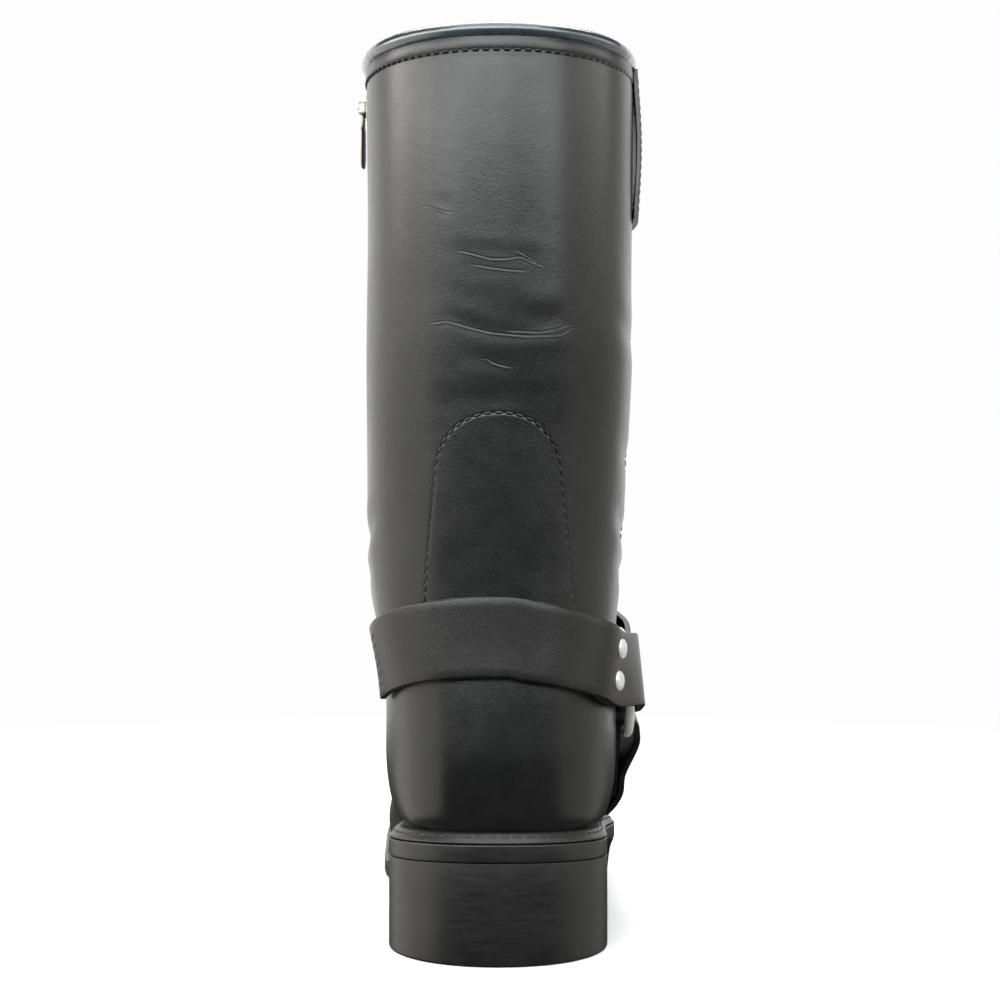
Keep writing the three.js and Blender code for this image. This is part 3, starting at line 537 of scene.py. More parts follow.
def woven(name, dark, light, pitch):
    """A herringbone tape: two threads of waves crossed."""
    s = Shader(name, Sheen_Weight=.3, Sheen_Roughness=.5, Specular_IOR_Level=.3)
    waves = []
    for turn in (.8, -.8):
        place = s.node("ShaderNodeMapping", {"Vector": s.place, "Rotation": (turn, 0, 0)}).outputs[0]
        wave = s.node("ShaderNodeTexWave", {"Vector": place, "Scale": pitch}, bands_direction="Z")
        waves.append(wave.outputs[1])
    weave = s.math("MAXIMUM", *waves)
    return s.done(s.mix(weave, dark, light), s.span(weave, 0, 1, .9, .7), s.times(weave, .15))


def thread(name, dark, light):
    """Waxed twisted thread."""
    s = Shader(name, Coat_Weight=.2, Coat_Roughness=.3)
    fibres = s.noise(3000, 2)
    return s.done(s.mix(fibres, dark, light), s.span(fibres, .3, .7, .38, .55), s.times(fibres, .05))


upper_leather = leather("boot_leather", (.0042, .0045, .0044), (.0085, .0088, .0084), .31,
                        seams=boot_seams)
strap_leather = leather("strap_leather", (.0045, .0043, .004), (.0085, .008, .0072), .37, .03, 1300,
                        coat=.05)
# The binding is black leather: its teal tint is painted sheen, the colour of bluish light on it painted
# into the base colour.
binding_leather = leather("binding_leather", (.012, .021, .027), (.022, .035, .043), .27, .02, 1500,
                          coat=1, shine=1)
lining_leather = leather("lining_leather", (.05, .04, .03), (.1, .08, .06), .62, .04, 1500, coat=0)
insole_leather = leather("insole_leather", (.16, .11, .07), (.25, .18, .12), .6, .03, 1800, coat=0)
welt_leather = leather("welt_leather", (.011, .011, .011), (.024, .023, .021), .42, .03, 1500, coat=.1)
heel_rubber = rubber("heel_rubber", (.0038, .0037, .0035), (.0085, .0083, .0077))
sole_rubber = rubber("sole_rubber", (.004, .004, .0038), (.009, .0088, .0082))
ring_nickel = nickel("ring_nickel", (.78, .77, .73), .4, .6)
# The loop is black leather: its blue tint is painted sheen, the colour of bluish light on it painted
# into the base colour.
loop_leather = leather("loop_leather", (.007, .01, .012), (.012, .017, .02), .36, .02, 1500, coat=.3)
zip_nickel = nickel("zip_nickel", (.4, .375, .34), .3, .95)
tape_cloth = woven("tape_cloth", (.006, .006, .006), (.02, .02, .02), 300)
black_thread = thread("black_thread", (.0015, .0015, .0015), (.005, .005, .005))


# The upper
def at_height(z):
    """The place along the last where the shaft's back is at a height."""
    low, high = 5.0, 0.0
    for _ in range(40):
        middle = (low + high) / 2
        if section(middle)["back_z"] > z:
            high = middle
        else:
            low = middle
    return high


def rows_of_last(first, last, count):
    """Places along the last that are evenly spaced on its faces."""
    fine = np.linspace(first, last, 1600)
    track = in_section(section(fine[:, None]), np.array([[0, .5, 1, 1.5]]) * math.pi)
    steps = np.linalg.norm(np.diff(track, axis=0), axis=2).max(1)
    length = np.concatenate([[0], np.cumsum(steps)])
    return np.interp(np.linspace(0, length[-1], count), length, fine)


def skin_tree():
    ats = rows_of_last(0, LAST_END - .002, 260)
    angles = np.linspace(0, 2 * math.pi, 220, endpoint=False)
    points = last_points(ats[:, None], angles[None])
    faces = [tuple(reversed(f)) for f in quads(*points.shape[:2], wrap=True)]
    return BVHTree.FromPolygons(points.reshape(-1, 3).tolist(), faces)


skin = skin_tree()


def sole_crossing(ats):
    """The angle at which each section meets the sole, 0 where it stays above it."""
    low = np.zeros_like(ats)
    high = np.full_like(ats, math.pi)
    rows = section(ats)

    def over(angle):
        p = in_section(rows, angle)
        return p[..., 2] - sole_top(p[..., 1]) - GAP

    clear = over(low) >= 0
    for _ in range(40):
        middle = (low + high) / 2
        up = over(middle) > 0
        high = np.where(up, middle, high)
        low = np.where(up, low, middle)
    return np.where(clear, 0, high)


def upper_grid(first, last, rows, front, back):
    """The angles of the upper's columns on each row. Two middle columns are the zip's two edges."""
    ats = rows_of_last(first, last, rows)
    row = section(ats)
    depth = row["front_y"] - row["back_y"]
    middle = np.maximum((ZIP_FORWARD - row["back_y"]) / depth, .3)
    height = row["back_z"] + middle * (row["front_z"] - row["back_z"])
    half = ZIP_SLIT / 2 * np.sqrt(np.clip((height - ZIP_FOOT + 1) / 5, 0, 1)) / depth
    ahead = 2 * math.pi - np.arccos(1 - 2 * (middle + half))
    behind = 2 * math.pi - np.arccos(1 - 2 * (middle - half))
    start = sole_crossing(ats)
    share_front = np.linspace(0, 1, front + 1)[None]
    share_back = np.linspace(0, 1, back + 1)[None]
    front_angles = start[:, None] * (1 - share_front) + ahead[:, None] * share_front
    back_angles = behind[:, None] * (1 - share_back) + (2 * math.pi - start)[:, None] * share_back
    return ats, np.hstack([front_angles, back_angles]), half > 0, start > 0


def shell(outer, inner, slit, cut, front):
    """A closed shell between two skins, open at the collar, the zip and the sole."""
    rows, count = outer.shape[:2]
    size = rows * count
    points = np.vstack([outer.reshape(-1, 3), inner.reshape(-1, 3)])
    skip = {(r, front) for r in range(rows)}
    faces = quads(rows, count, skip=skip)
    faces += [tuple(i + size for i in reversed(f)) for f in faces]

    def rim(a, b):
        faces.append((a, b, b + size, a + size))

    for i in range(count - 1):
        if i != front:
            rim(i, i + 1)
            rim((rows - 1) * count + i, (rows - 1) * count + i + 1)
    for r in range(rows - 1):
        columns = []
        if slit[r] or slit[r + 1]:
            columns += [front, front + 1]
        if cut[r] or cut[r + 1]:
            columns += [0, count - 1]
        for c in columns:
            rim(r * count + c, (r + 1) * count + c)
    return points, faces


def round_shaft(pairs):
    """A line on the shaft from turns about its middle, 0 at the back, and heights."""
    turns = [(math.radians(turn), z) for turn, z in pairs]
    return np.array([cast((0, 25, z), (math.sin(turn), -math.cos(turn), 0))[0] for turn, z in turns])


def over_vamp(pairs):
    """A line over the vamp from turns about its length, 0 on top, and places along Y."""
    turns = [(math.radians(turn), y) for turn, y in pairs]
    return np.array([cast((-2, y - 12, 26), (math.sin(turn), .35, math.cos(turn)))[0]
                     for turn, y in turns])


def line_distance(points, line):
    """How far points are from a line of places, and how far along it they are, from 0 to 1."""
    best = np.full(len(points), 1e9)
    share = np.zeros(len(points))
    count = len(line) - 1
    for i in range(count):
        a, b = line[i], line[i + 1]
        t = np.clip((points - a) @ (b - a) / max((b - a) @ (b - a), 1e-9), 0, 1)
        d = np.linalg.norm(points - (a + t[:, None] * (b - a)), axis=1)
        closer = d < best
        best[closer] = d[closer]
        share[closer] = (i + t[closer]) / count
    return best, share


# Creases: a line, and the trough's depth and width
BACK_CREASES = [
    ([(-24, 216.6), (-17.5, 217.6), (-12, 215.6), (-2, 212.6), (8.3, 211.8), (15, 212.6), (22.5, 213.8),
      (27, 216.4)], .26, 1.9),
    ([(3, 217.5), (12, 216.8), (19, 217.8), (25, 219.6)], .42, 3.4),
    ([(-19, 240.6), (-10, 239.6), (0, 238.6), (9, 238), (15.5, 236.4)], .17, 2.2),
    ([(-17, 235.4), (-8, 234.2), (3, 233.6), (12, 233.2)], .15, 2),
    ([(-14, 204.2), (-5, 203), (5, 201.8)], .14, 2),
    ([(-23, 258.4), (-15, 254.8)], .14, 2),
    ([(-30, 192), (-12, 189.6), (6, 190.6), (26, 193)], .12, 3),
]
SIDE_CREASES = [
    ([(60, 152), (84, 144), (110, 141), (140, 147), (172, 158)], 1.1, 4.2),
    ([(70, 134), (96, 128), (126, 129), (156, 138)], 1.0, 3.8),
    ([(-62, 150), (-84, 143), (-110, 141), (-140, 148), (-174, 160)], 1.1, 4.2),
    ([(-74, 132), (-98, 127), (-128, 129), (-158, 139)], .9, 3.6),
    ([(66, 176), (96, 170), (128, 172), (165, 181)], .7, 4.4),
    ([(-92, 171), (-128, 174), (-168, 184)], .7, 4.2),
    ([(48, 222), (80, 216), (112, 219)], .4, 4.5),
    ([(130, 212), (160, 208), (190, 211), (216, 218)], .5, 4.5),
    ([(-100, 236), (-134, 230), (-170, 233)], .4, 4.6),
    ([(120, 250), (150, 244), (182, 247)], .35, 4.6),
]
VAMP_CREASES = [
    ([(-62, 152), (-34, 143), (0, 140), (32, 145), (58, 156)], 1.0, 3.2),
    ([(-56, 166), (-30, 158), (2, 155), (30, 159), (54, 168)], .9, 3),
    ([(-40, 174), (-12, 169), (16, 170), (42, 177)], .55, 2.6),
    ([(-50, 131), (-20, 127), (14, 127), (44, 134)], .6, 3),
]


def crease_depth(points):
    """How far creases and slow unevenness move each point of the upper out of its smooth form."""
    moved = np.zeros(len(points))
    for lines, to_line in ((BACK_CREASES + SIDE_CREASES, round_shaft), (VAMP_CREASES, over_vamp)):
        for pairs, depth, width in lines:
            line = smooth(to_line(pairs), 5)
            distance, share = line_distance(points, line)
            taper = np.sin(np.clip(share, .01, .99) * math.pi) ** .6
            trough = np.exp(-(distance / width) ** 2)
            swell = np.exp(-((distance - 2.1 * width) / (1.1 * width)) ** 2)
            moved += depth * taper * (.38 * swell - trough)
    x, y, z = points.T
    slow = (np.sin(z / 21 + x / 37 + 1.2) * np.sin(y / 33 + z / 60) * .28
            + np.sin(z / 9.5 + x / 16) * np.sin(x / 13 - y / 17 + 2) * .07)
    return moved + slow * np.clip((z - sole_top(y) - 6) / 20, 0, 1)


def fold_distance(points, line):
    """The height of points over a line seen from behind."""
    xs, zs = np.array(line).T
    return points[:, 2] - np.interp(points[:, 0], xs, zs)


def counter_half(z):
    drop = np.clip(COUNTER_HEIGHT - np.asarray(z, float), 0, None)
    rounded = 1 - np.clip(drop / COUNTER_CAP, 0, 1)
    return (COUNTER_CAP * (1 - rounded ** COUNTER_ROUND) ** (1 / COUNTER_ROUND)
            + np.clip(drop - COUNTER_CAP, 0, None) * COUNTER_FLARE)


def counter_line():
    """The arch of the counter as seen from behind, X and Z."""
    drops = np.concatenate([COUNTER_CAP * (1 - np.cos(np.linspace(0, math.pi / 2, 24))),
                            np.arange(COUNTER_CAP + 2, COUNTER_HEIGHT - COUNTER_END + 1, 2)])
    z = COUNTER_HEIGHT - drops
    half = counter_half(z)
    return np.concatenate([np.stack([-half[::-1], z[::-1]], 1), np.stack([half[1:], z[1:]], 1)])


def side_seam(z):
    """Where the seam on the outer side runs, a place along Y for each height."""
    low, high = SIDE_SEAM_BEND
    return SIDE_SEAM + SIDE_SEAM_SHIFT * np.clip((np.asarray(z, float) - low) / (high - low), 0, 1)


def collar_row(y):
    return COLLAR_BACK - STITCH_DROP + COLLAR_SLOPE * (y - HEEL_BACK)


def make_upper():
    """The leather with its counter, creases and seams, and the lining behind it."""
    top = at_height(COLLAR_BACK + 1.6)
    front, back = 124, 56
    ats, angles, slit, cut = upper_grid(top, LAST_END - .012, 250, front, back)
    plain = last_points(ats[:, None], angles)
    normals = unit(last_points(ats[:, None], angles, 1) - plain)
    flat = plain.reshape(-1, 3)
    x, y, z = flat.T
    line = counter_line()
    distance, _ = line_distance(np.stack([x, np.zeros_like(x), z], 1),
                                np.stack([line[:, 0], np.zeros(len(line)), line[:, 1]], 1))
    inside = (np.abs(x) < counter_half(z)) & (z < COUNTER_HEIGHT) & (y < 20)
    counter = np.where(inside, -distance, distance) + np.where(y < 20, 0, 60)
    counter = np.where(z < COUNTER_END, 60, counter)
    raised = STEP * .3 * np.clip(.5 - counter / 9, 0, 1) * np.clip((z - COUNTER_END) / 8, 0, 1)
    below = COLLAR_BACK + COLLAR_SLOPE * (y - HEEL_BACK) - z
    puff = sum(rise * np.exp(-((below - place) / width) ** 2) for rise, place, width in COLLAR_PUFF)
    moved = crease_depth(flat)
    from_zip = np.where((x < 0) & (z > ZIP_FOOT), np.abs(y - ZIP_FORWARD), 60)
    edge = np.clip(1 - np.abs(from_zip - ZIP_SLIT / 2) / 1.6, 0, 1)
    feather = FEATHER[0] * np.exp(-((z - sole_top(y) - GAP - WELT_HEIGHT) / FEATHER[1]) ** 2)
    moved = np.clip(moved, -1.3, .9) + raised + puff + feather - .6 * edge ** 2
    outer = plain + normals * moved.reshape(plain.shape[:2])[..., None]
    inner = plain - normals * LEATHER
    points, faces = shell(outer, inner, slit, cut, front)
    values = {"counter": np.concatenate([counter, np.full(len(counter), 60.0)])}
    for i, fold in enumerate(FINE_FOLDS):
        values[f"fold_{i}"] = np.tile(fold_distance(flat, fold), 2)
    piece("upper_leather", points, faces, upper_leather, "upper_leather", nodes=("upper",),
          values=values, sharp=50)
    front, back = 62, 28
    ats, angles, slit, cut = upper_grid(top, LAST_END - .05, 90, front, back)
    points, faces = shell(last_points(ats[:, None], angles, -LEATHER - .05),
                          last_points(ats[:, None], angles, -WALL), slit, cut, front)
    piece("upper_lining", points, faces, lining_leather, "insole_leather", sharp=50)


make_upper()

# The harness. The ring's middle is given by its distance out, forward and up
RING_WIRE = 3.8
RING_RADIUS = (41.6 - RING_WIRE) / 2
RING_FORWARD = 38
RING_HEIGHT = 89
RING_STANDOFF = 46.802
RING_YAW = math.radians(3)
RING_LEAN = math.radians(3.5)
RING_ROOM = .55
RIVET = 7
RIVET_DOME = 1.5
RIVET_SPACING = 11.5
BACK_HEIGHT = 110.5
BACK_ANGLE = 180 - math.degrees(math.atan((BACK_HEIGHT - RING_HEIGHT) / (RING_FORWARD - HEEL_BACK)))
BACK_LEAN = math.radians(6)
HARNESS_STITCH = (2.2, .75, .6)
SEAM_STITCH = (2.5, .8, .7)


def ring_frame():
    front = np.array([-math.sin(RING_YAW), math.cos(RING_YAW), 0])
    lean = np.array([-math.sin(RING_LEAN), 0, math.cos(RING_LEAN)])
    out = unit(np.cross(front, lean))
    axes = np.array([out, front, np.cross(out, front)])
    return axes, np.array([RING_STANDOFF, RING_FORWARD, RING_HEIGHT])


RING_AXES, RING_CENTRE = ring_frame()


def in_ring(out, front, top):
    return RING_CENTRE + out * RING_AXES[0] + front * RING_AXES[1] + top * RING_AXES[2]


def make_ring():
    around, wire = 96, 20
    rings = []
    for i in range(around):
        turn = 2 * math.pi * i / around
        ring = []
        for k in range(wire):
            phi = 2 * math.pi * k / wire
            radius = RING_RADIUS + math.cos(phi) * RING_WIRE / 2
            ring.append(in_ring(math.sin(phi) * RING_WIRE / 2, math.cos(turn) * radius,
                                math.sin(turn) * radius))
        rings.append(ring)
    points = np.array(rings).reshape(-1, 3)
    piece("ring", points, quads(around, wire, wrap=True, close=True), ring_nickel, "nickel", "ring",
          ("harness_ring",))


def directions(angle):
    turn = math.radians(angle)
    along, across = (0, math.cos(turn), math.sin(turn)), (0, -math.sin(turn), math.cos(turn))
    return np.array(along), np.array(across)


def strap_level(level):
    """The middle of a strap's thickness over the boot's face: 0 next to it, 1 on top of the tail."""
    return GAP + STEP + STRAP / 2 + level * (STRAP + GAP)


def strap_spot(angle, lean, distance, shift):
    """A place on a strap over the boot's outer face, and the face's normal. A strap that leans runs
    lower there than at the heel's middle."""
    along, across = directions(angle)
    start = np.array([0, RING_FORWARD, RING_HEIGHT]) + along * distance + across * shift
    spot, _ = cast(start, (1, 0, 0))
    return cast(start + across * spot[0] * math.tan(lean), (1, 0, 0))


def strap_stations(angle, width, starts, medial_start=None, lean=0):
    """Places along a strap: point, direction across, how far it clings to the boot, and its level.
    starts are the distances from the ring's middle where the strap leaves the boot's face, where it
    climbs, and where its tail ends and the bend to the ring begins."""
    along, across = directions(angle)
    centre = np.array([0, RING_FORWARD, RING_HEIGHT])
    stations = []

    def on_face(distance, level, cling):
        spot, normal = strap_spot(angle, lean, distance, 0)
        side = unit(np.cross(normal, along))
        height = strap_level(level)
        return [*(spot + normal * height), *side, cling, height]

    far, climb, end, near = starts
    if medial_start is not None:
        hub = centre + along * medial_start

        def leaning(turn):
            return lean * min(max(math.cos(turn) / .25, 0), 1)

        def around(turn):
            out = np.array([math.cos(leaning(turn)), 0, 0]) + across * math.sin(leaning(turn))
            return cast(hub, out * math.cos(turn) + along * math.sin(turn))

        low, high = 0.0, math.pi / 2
        for _ in range(30):
            middle = (low + high) / 2
            if (around(middle)[0] - centre) @ along > far:
                high = middle
            else:
                low = middle
        for turn in np.linspace(math.pi, high, 64)[:-1]:
            spot, normal = around(turn)
            side = across * math.cos(leaning(turn)) - np.array([math.sin(leaning(turn)), 0, 0])
            side = unit(side - normal * (side @ normal))
            stations.append([*(spot + normal * strap_level(0)), *side, 1, strap_level(0)])
    layer = RING_WIRE / 2 + RING_ROOM + STRAP / 2
    bend = math.sqrt((RING_RADIUS - RING_WIRE / 2) ** 2 - (width / 2) ** 2) + RING_WIRE / 2
    radial = (along[1], along[2])
    side = RING_AXES[1] * -radial[1] + RING_AXES[2] * radial[0]

    def fold(distance, out):
        return [*in_ring(out, radial[0] * distance, radial[1] * distance), *side, 0, 0]

    turns = np.linspace(0, math.pi, 15)
    arc = [fold(bend - layer * math.sin(t), layer * math.cos(t)) for t in turns]
    tip = RING_RADIUS + RING_WIRE / 2
    outward = smooth([on_face(far, 0, 1), on_face(climb, 0, 1), on_face(end, 1, 0), on_face(near, 1, 0),
                      fold(tip, layer), arc[0]], 7)
    inward = smooth([arc[-1], fold(tip, -layer), on_face(near, 0, 1), on_face(end, 0, 1)], 6)
    return np.array([*stations, *outward, *arc[1:-1], *inward])


def strap_profile(width, thickness, corner=.75):
    """The strap's outline in its own section: across and out, all the way round."""
    half, flat = width / 2, thickness / 2
    top = np.linspace(-half + corner, half - corner, 11)

    def rounded(side, turns):
        return [(side * (half - corner + corner * math.cos(math.radians(turn))),
                 math.copysign(flat - corner * (1 - abs(math.sin(math.radians(turn)))), turn))
                for turn in turns]

    return ([(w, flat + .1 * (1 - (w / half) ** 2)) for w in top] + rounded(1, (60, 30, -30, -60))
            + [(w, -flat) for w in top[::-2]] + rounded(-1, (-60, -30, 30, 60)))


def strap_grid(stations, widths):
    """The middle surface of a strap at each station and width, and the direction out of it."""
    grid = np.zeros((len(stations), len(widths), 3))
    for s, station in enumerate(stations):
        point, across, cling, height = station[:3], station[3:6], station[6], station[7]
        across = unit(across)
        for i, w in enumerate(widths):
            p = point + across * w
            if cling > .01:
                spot, normal = nearest(p)
                p = p * (1 - cling) + (spot + normal * height) * cling
            grid[s, i] = p
    along = np.gradient(grid, axis=0)
    across = np.gradient(grid, axis=1)
    out = unit(np.cross(across, along))
    for _ in range(3):
        out[1:-1] = unit(out[:-2] + 2 * out[1:-1] + out[2:])
    return grid, out


def strap_solid(stations, width, thickness=STRAP):
    profile = strap_profile(width, thickness)
    widths = sorted({round(w, 6) for w, _ in profile})
    grid, out = strap_grid(stations, widths)
    columns = [widths.index(round(w, 6)) for w, _ in profile]
    rings = np.stack([grid[:, c] + out[:, c] * h for c, (_, h) in zip(columns, profile)], 1)
    return loft(rings), grid, out, widths


def rivet_points(centre, out):
    """A domed rivet head with a thin washer edge."""
    side = unit(np.cross(out, (0, 0, 1)))
    up = np.cross(side, out)
    profile = [(RIVET / 2 - .25, -.5), (RIVET / 2, -.35), (RIVET / 2 + .02, 0)]
    profile += [(RIVET / 2 * math.cos(t), .12 + (RIVET_DOME - .12) * math.sin(t))
                for t in np.linspace(.05, math.pi / 2 - .04, 9)]
    rings = [[centre + side * r * math.cos(p) + up * r * math.sin(p) + out * h
              for p in np.linspace(0, 2 * math.pi, 28, endpoint=False)] for r, h in profile]
    return loft(rings)


def make_strap(name, node, angle, width, starts, medial_start, rivets, lean=0):
    stations = strap_stations(angle, width, starts, medial_start, lean)
    solid, grid, out, widths = strap_solid(stations, width)
    piece(name, *solid, strap_leather, "strap_leather", nodes=(node,))
    tree = BVHTree.FromPolygons(solid[0].tolist(), solid[1])
    for i, side in enumerate((1, -1)):
        spot, normal = strap_spot(angle, lean, rivets, side * RIVET_SPACING / 2)
        seat, _, _, _ = tree.ray_cast(Vector((90, spot[1], spot[2])), Vector((-1, 0, 0)))
        piece(f"{name}_rivet_{i + 1}", *rivet_points(np.array(seat) + normal * .12, normal), ring_nickel,
              "nickel", nodes=(f"{node}_rivet_{i + 1}",))
    rows = []
    for station in (2, 5):
        middle = [k for k, w in enumerate(widths) if abs(w) < width / 2 - 2.4]
        path = grid[station, middle] + out[station, middle] * (STRAP / 2 + .1)
        rows.append((path, out[station, middle]))
    stitches(f"{name}_stitches", rows, 2.9, HARNESS_STITCH, "strap_leather")
    return solid


make_ring()
make_strap("heel_strap", "back_strap", angle=BACK_ANGLE, width=27, starts=(68, 62, 54, 42),
           medial_start=35, rivets=47, lean=BACK_LEAN)
make_strap("instep_strap", "front_strap", angle=40, width=24, starts=(50, 45, 38, 28),
           medial_start=24, rivets=33)


def make_under_strap():
    """The strap from the ring down to the welt."""
    width = 22
    stations = strap_stations(-70, width, (62, 52, 42, 34))
    (points, faces), _, _, _ = strap_solid(stations, width)
    floor = sole_top(points[:, 1]) + GAP + WELT_HEIGHT + .1
    points[:, 2] = np.maximum(points[:, 2], floor)
    piece("sole_strap", points, faces, strap_leather, "strap_leather", nodes=("under_strap",))


make_under_strap()


# The collar's binding, the pull loop and the zip
ROLL_OUT = 1.12
ROLL_UP = 1.18
ROLL_END = (6.4, 4.2, 4.6)
LOOP_FORWARD = 31
LOOP_LENGTH = 56
LOOP_WIDTH = 26
LOOP_THICKNESS = 1.9
LOOP_RISE = 1.1
LOOP_SEAM = 10.6
TAPE_HALF = 11
TOOTH_PITCH = 1.05


def roll_centre(at, angle, drop):
    """A place in the collar's roll and the direction out of the boot there."""
    out = unit(last_points(at, angle, 1) - last_points(at, angle, 0))
    return last_points(at, angle, -WALL / 2 + .35) - np.array([0, 0, drop]), out


def make_binding():
    """The roll round the collar, open at the zip, where both its ends turn down."""
    radius = BINDING / 2
    at = at_height(BOOT_HEIGHT - radius)
    row = section(at)
    depth = row["front_y"] - row["back_y"]
    first = -math.acos(1 - 2 * (ZIP_FORWARD - ZIP_SLIT / 2 - row["back_y"]) / depth)
    last = 2 * math.pi - math.acos(1 - 2 * (ZIP_FORWARD + ZIP_SLIT / 2 - row["back_y"]) / depth)
    rings = []
    count = 200
    for i in range(count + 1):
        angle = first + (last - first) * i / count
        centre, out = roll_centre(at, angle, ROLL_DROP)
        end = min(i, count - i) / 3
        size = radius * (1 if end >= 1 else math.sqrt(max(1 - (1 - end) ** 2, .04)))
        pucker = 1 + .012 * math.sin(i * 1.9) + .008 * math.sin(i * .83)
        rings.append([centre + (out * ROLL_OUT * math.cos(t)
                                + np.array([0, 0, ROLL_UP * math.sin(t)])) * size * pucker
                      for t in np.linspace(0, 2 * math.pi, 18, endpoint=False)])
    parts = [loft(rings)]
    for angle in (first, last):
        centre, out = roll_centre(at, angle, ROLL_DROP + 2.6)
        parts.append(pebble(centre, np.array([0, 0, 1.0]), out, ROLL_END, 2.4, 18, 13))
    piece("collar_roll", *joined(parts), binding_leather, "binding_leather", nodes=("collar_binding",))


def make_pull_loop():
    """A loop that lies on the shaft and stands off in its middle."""
    top = COLLAR_BACK + COLLAR_SLOPE * (LOOP_FORWARD - HEEL_BACK) - GAP
    stations = []
    for share in np.linspace(0, 1, 44):
        z = top - LOOP_LENGTH * (1 - share)
        spot, normal = cast((0, LOOP_FORWARD, z), (1, 0, 0))
        rise = LOOP_RISE * max(0, math.sin(math.pi * share)) ** 1.5
        height = GAP + LOOP_THICKNESS / 2 + rise
        stations.append([*(spot + normal * height), 0, 1, 0, 1, height])
    solid, grid, out, widths = strap_solid(np.array(stations), LOOP_WIDTH, LOOP_THICKNESS)
    piece("pull_loop", *solid, loop_leather, "strap_leather", nodes=("pull_loop",))
    rows = []
    inner = [k for k, w in enumerate(widths) if abs(w) < LOOP_SEAM]
    for station in (2, 9, 34, 41):
        rows.append((grid[station, inner] + out[station, inner] * 1.0, out[station, inner]))
    for edge in (-LOOP_SEAM, LOOP_SEAM):
        k = min(range(len(widths)), key=lambda j: abs(widths[j] - edge))
        rows.append((grid[2:42, k] + out[2:42, k] * 1.0, out[2:42, k]))
    stitches("pull_loop_stitches", rows, 3, HARNESS_STITCH, "strap_leather")


def medial(y, z, offset):
    spot, normal = cast((-4, y, z), (-1, 0, 0))
    return spot + normal * offset, normal


def zip_axes(z, offset):
    centre, out = medial(ZIP_FORWARD, z, offset)
    across = unit(np.cross((0, 0, 1), out))
    return centre, out, across, np.cross(out, across)


def make_zip():
    """The tape, two rows of teeth, the slider and its tab."""
    tape_top = COLLAR_BACK + COLLAR_SLOPE * (ZIP_FORWARD - HEEL_BACK) - GAP - 1
    tape_ys = np.linspace(ZIP_FORWARD - TAPE_HALF, ZIP_FORWARD + TAPE_HALF, 13)
    tape_zs = np.linspace(ZIP_FOOT - 4, tape_top, 70)
    grids = []
    for offset in (-WALL - GAP, -WALL - GAP - 1):
        grids.append(np.array([[medial(y, z, offset)[0] for y in tape_ys] for z in tape_zs]))
    piece("zip_cloth", *slab(*grids), tape_cloth, "zip_cloth", nodes=("zip_tape",))
    chain_top = tape_top + 1 - SLIDER_DROP
    parts = []
    for i in range(int((chain_top - ZIP_FOOT - 3) / TOOTH_PITCH)):
        centre, out, across, _ = zip_axes(ZIP_FOOT + 1.5 + i * TOOTH_PITCH, -WALL / 2)
        side = 1 if i % 2 else -1
        parts.append(pebble(centre + across * side * .95, across, out, (3.1, 1.0, 1.8), 4, 8, 6))
    piece("zip_chain", *joined(parts), zip_nickel, "zip_metal", nodes=("zip_teeth",))
    centre, out, across, up = zip_axes(chain_top - 6, GAP)
    body = [pebble(centre + out * 1.15, up, out, (12.2, 8.2, 2.3), 3.6, 28, 15),
            pebble(centre + out * .1, up, out, (10, 5, 1.4), 4, 16, 9)]
    for side in (-1, 1):
        lug = centre + out * 3.4 + across * side * 2.4
        body.append(pebble(lug, up, out, (5.2, 1.25, 3.6), 3.5, 14, 9))
    body.append(pebble(centre + out * 4.95, across, out, (6, 1.5, 1.0), 4, 12, 9))
    piece("zip_slider_body", *joined(body), zip_nickel, "zip_metal", nodes=("zip_slider",))
    pivot = centre + out * (2.2 + 1.6)
    tab = [pebble(pivot, across, out, (6, 1.4, 1.4), 5, 12, 7),
           pebble(pivot - up * 4, up, out, (8.4, 2.9, 1.5), 4, 14, 11),
           pebble(pivot - up * 14.6, up, out, (16.6, 6, 1.7), 4.5, 24, 17)]
    piece("zip_tab", *joined(tab), zip_nickel, "zip_metal", "pull_tab", ("zip_pull",))


make_binding()
make_pull_loop()
make_zip()


# The sole
def sole_shares(to=1.0, steps=150):
    """Shares of the sole's length, close together where its outline is round."""
    turns = np.linspace(0, math.pi if to == 1 else math.pi / 2, steps + 1)
    return to * ((1 - np.cos(turns)) / 2 if to == 1 else 1 - np.cos(turns))


def plate(levels, shares):
    """A plate with the sole's outline, each level with an inset and a height that changes along Y."""
    rings = []
    for inset, height in levels:
        y, left, right = sole_edges(shares, inset(shares) if callable(inset) else inset)
        z = height(y)
        rings.append(np.vstack([np.stack([right, y, z], 1), np.stack([left, y, z], 1)[::-1]]))
    rings = np.array(rings)
    count = rings.shape[1]
    faces = quads(len(rings), count, wrap=True)
    top = (len(rings) - 1) * count
    for i in range(len(shares) - 1):
        a, b, c, d = i, i + 1, count - 2 - i, count - 1 - i
        faces.append((a, d, c, b))
        faces.append((top + a, top + b, top + c, top + d))
    return rings.reshape(-1, 3), faces


def over_top(rise):
    return lambda y: sole_top(y) + rise


def over_bottom(rise):
    return lambda y: sole_bottom(y) + rise


def eased(inset):
    """An inset for a rounded edge that turns square where the edge meets the heel block."""
    return lambda at: inset * np.clip((at * OUTSOLE_LENGTH - HEEL_LENGTH) / 8, .12, 1)


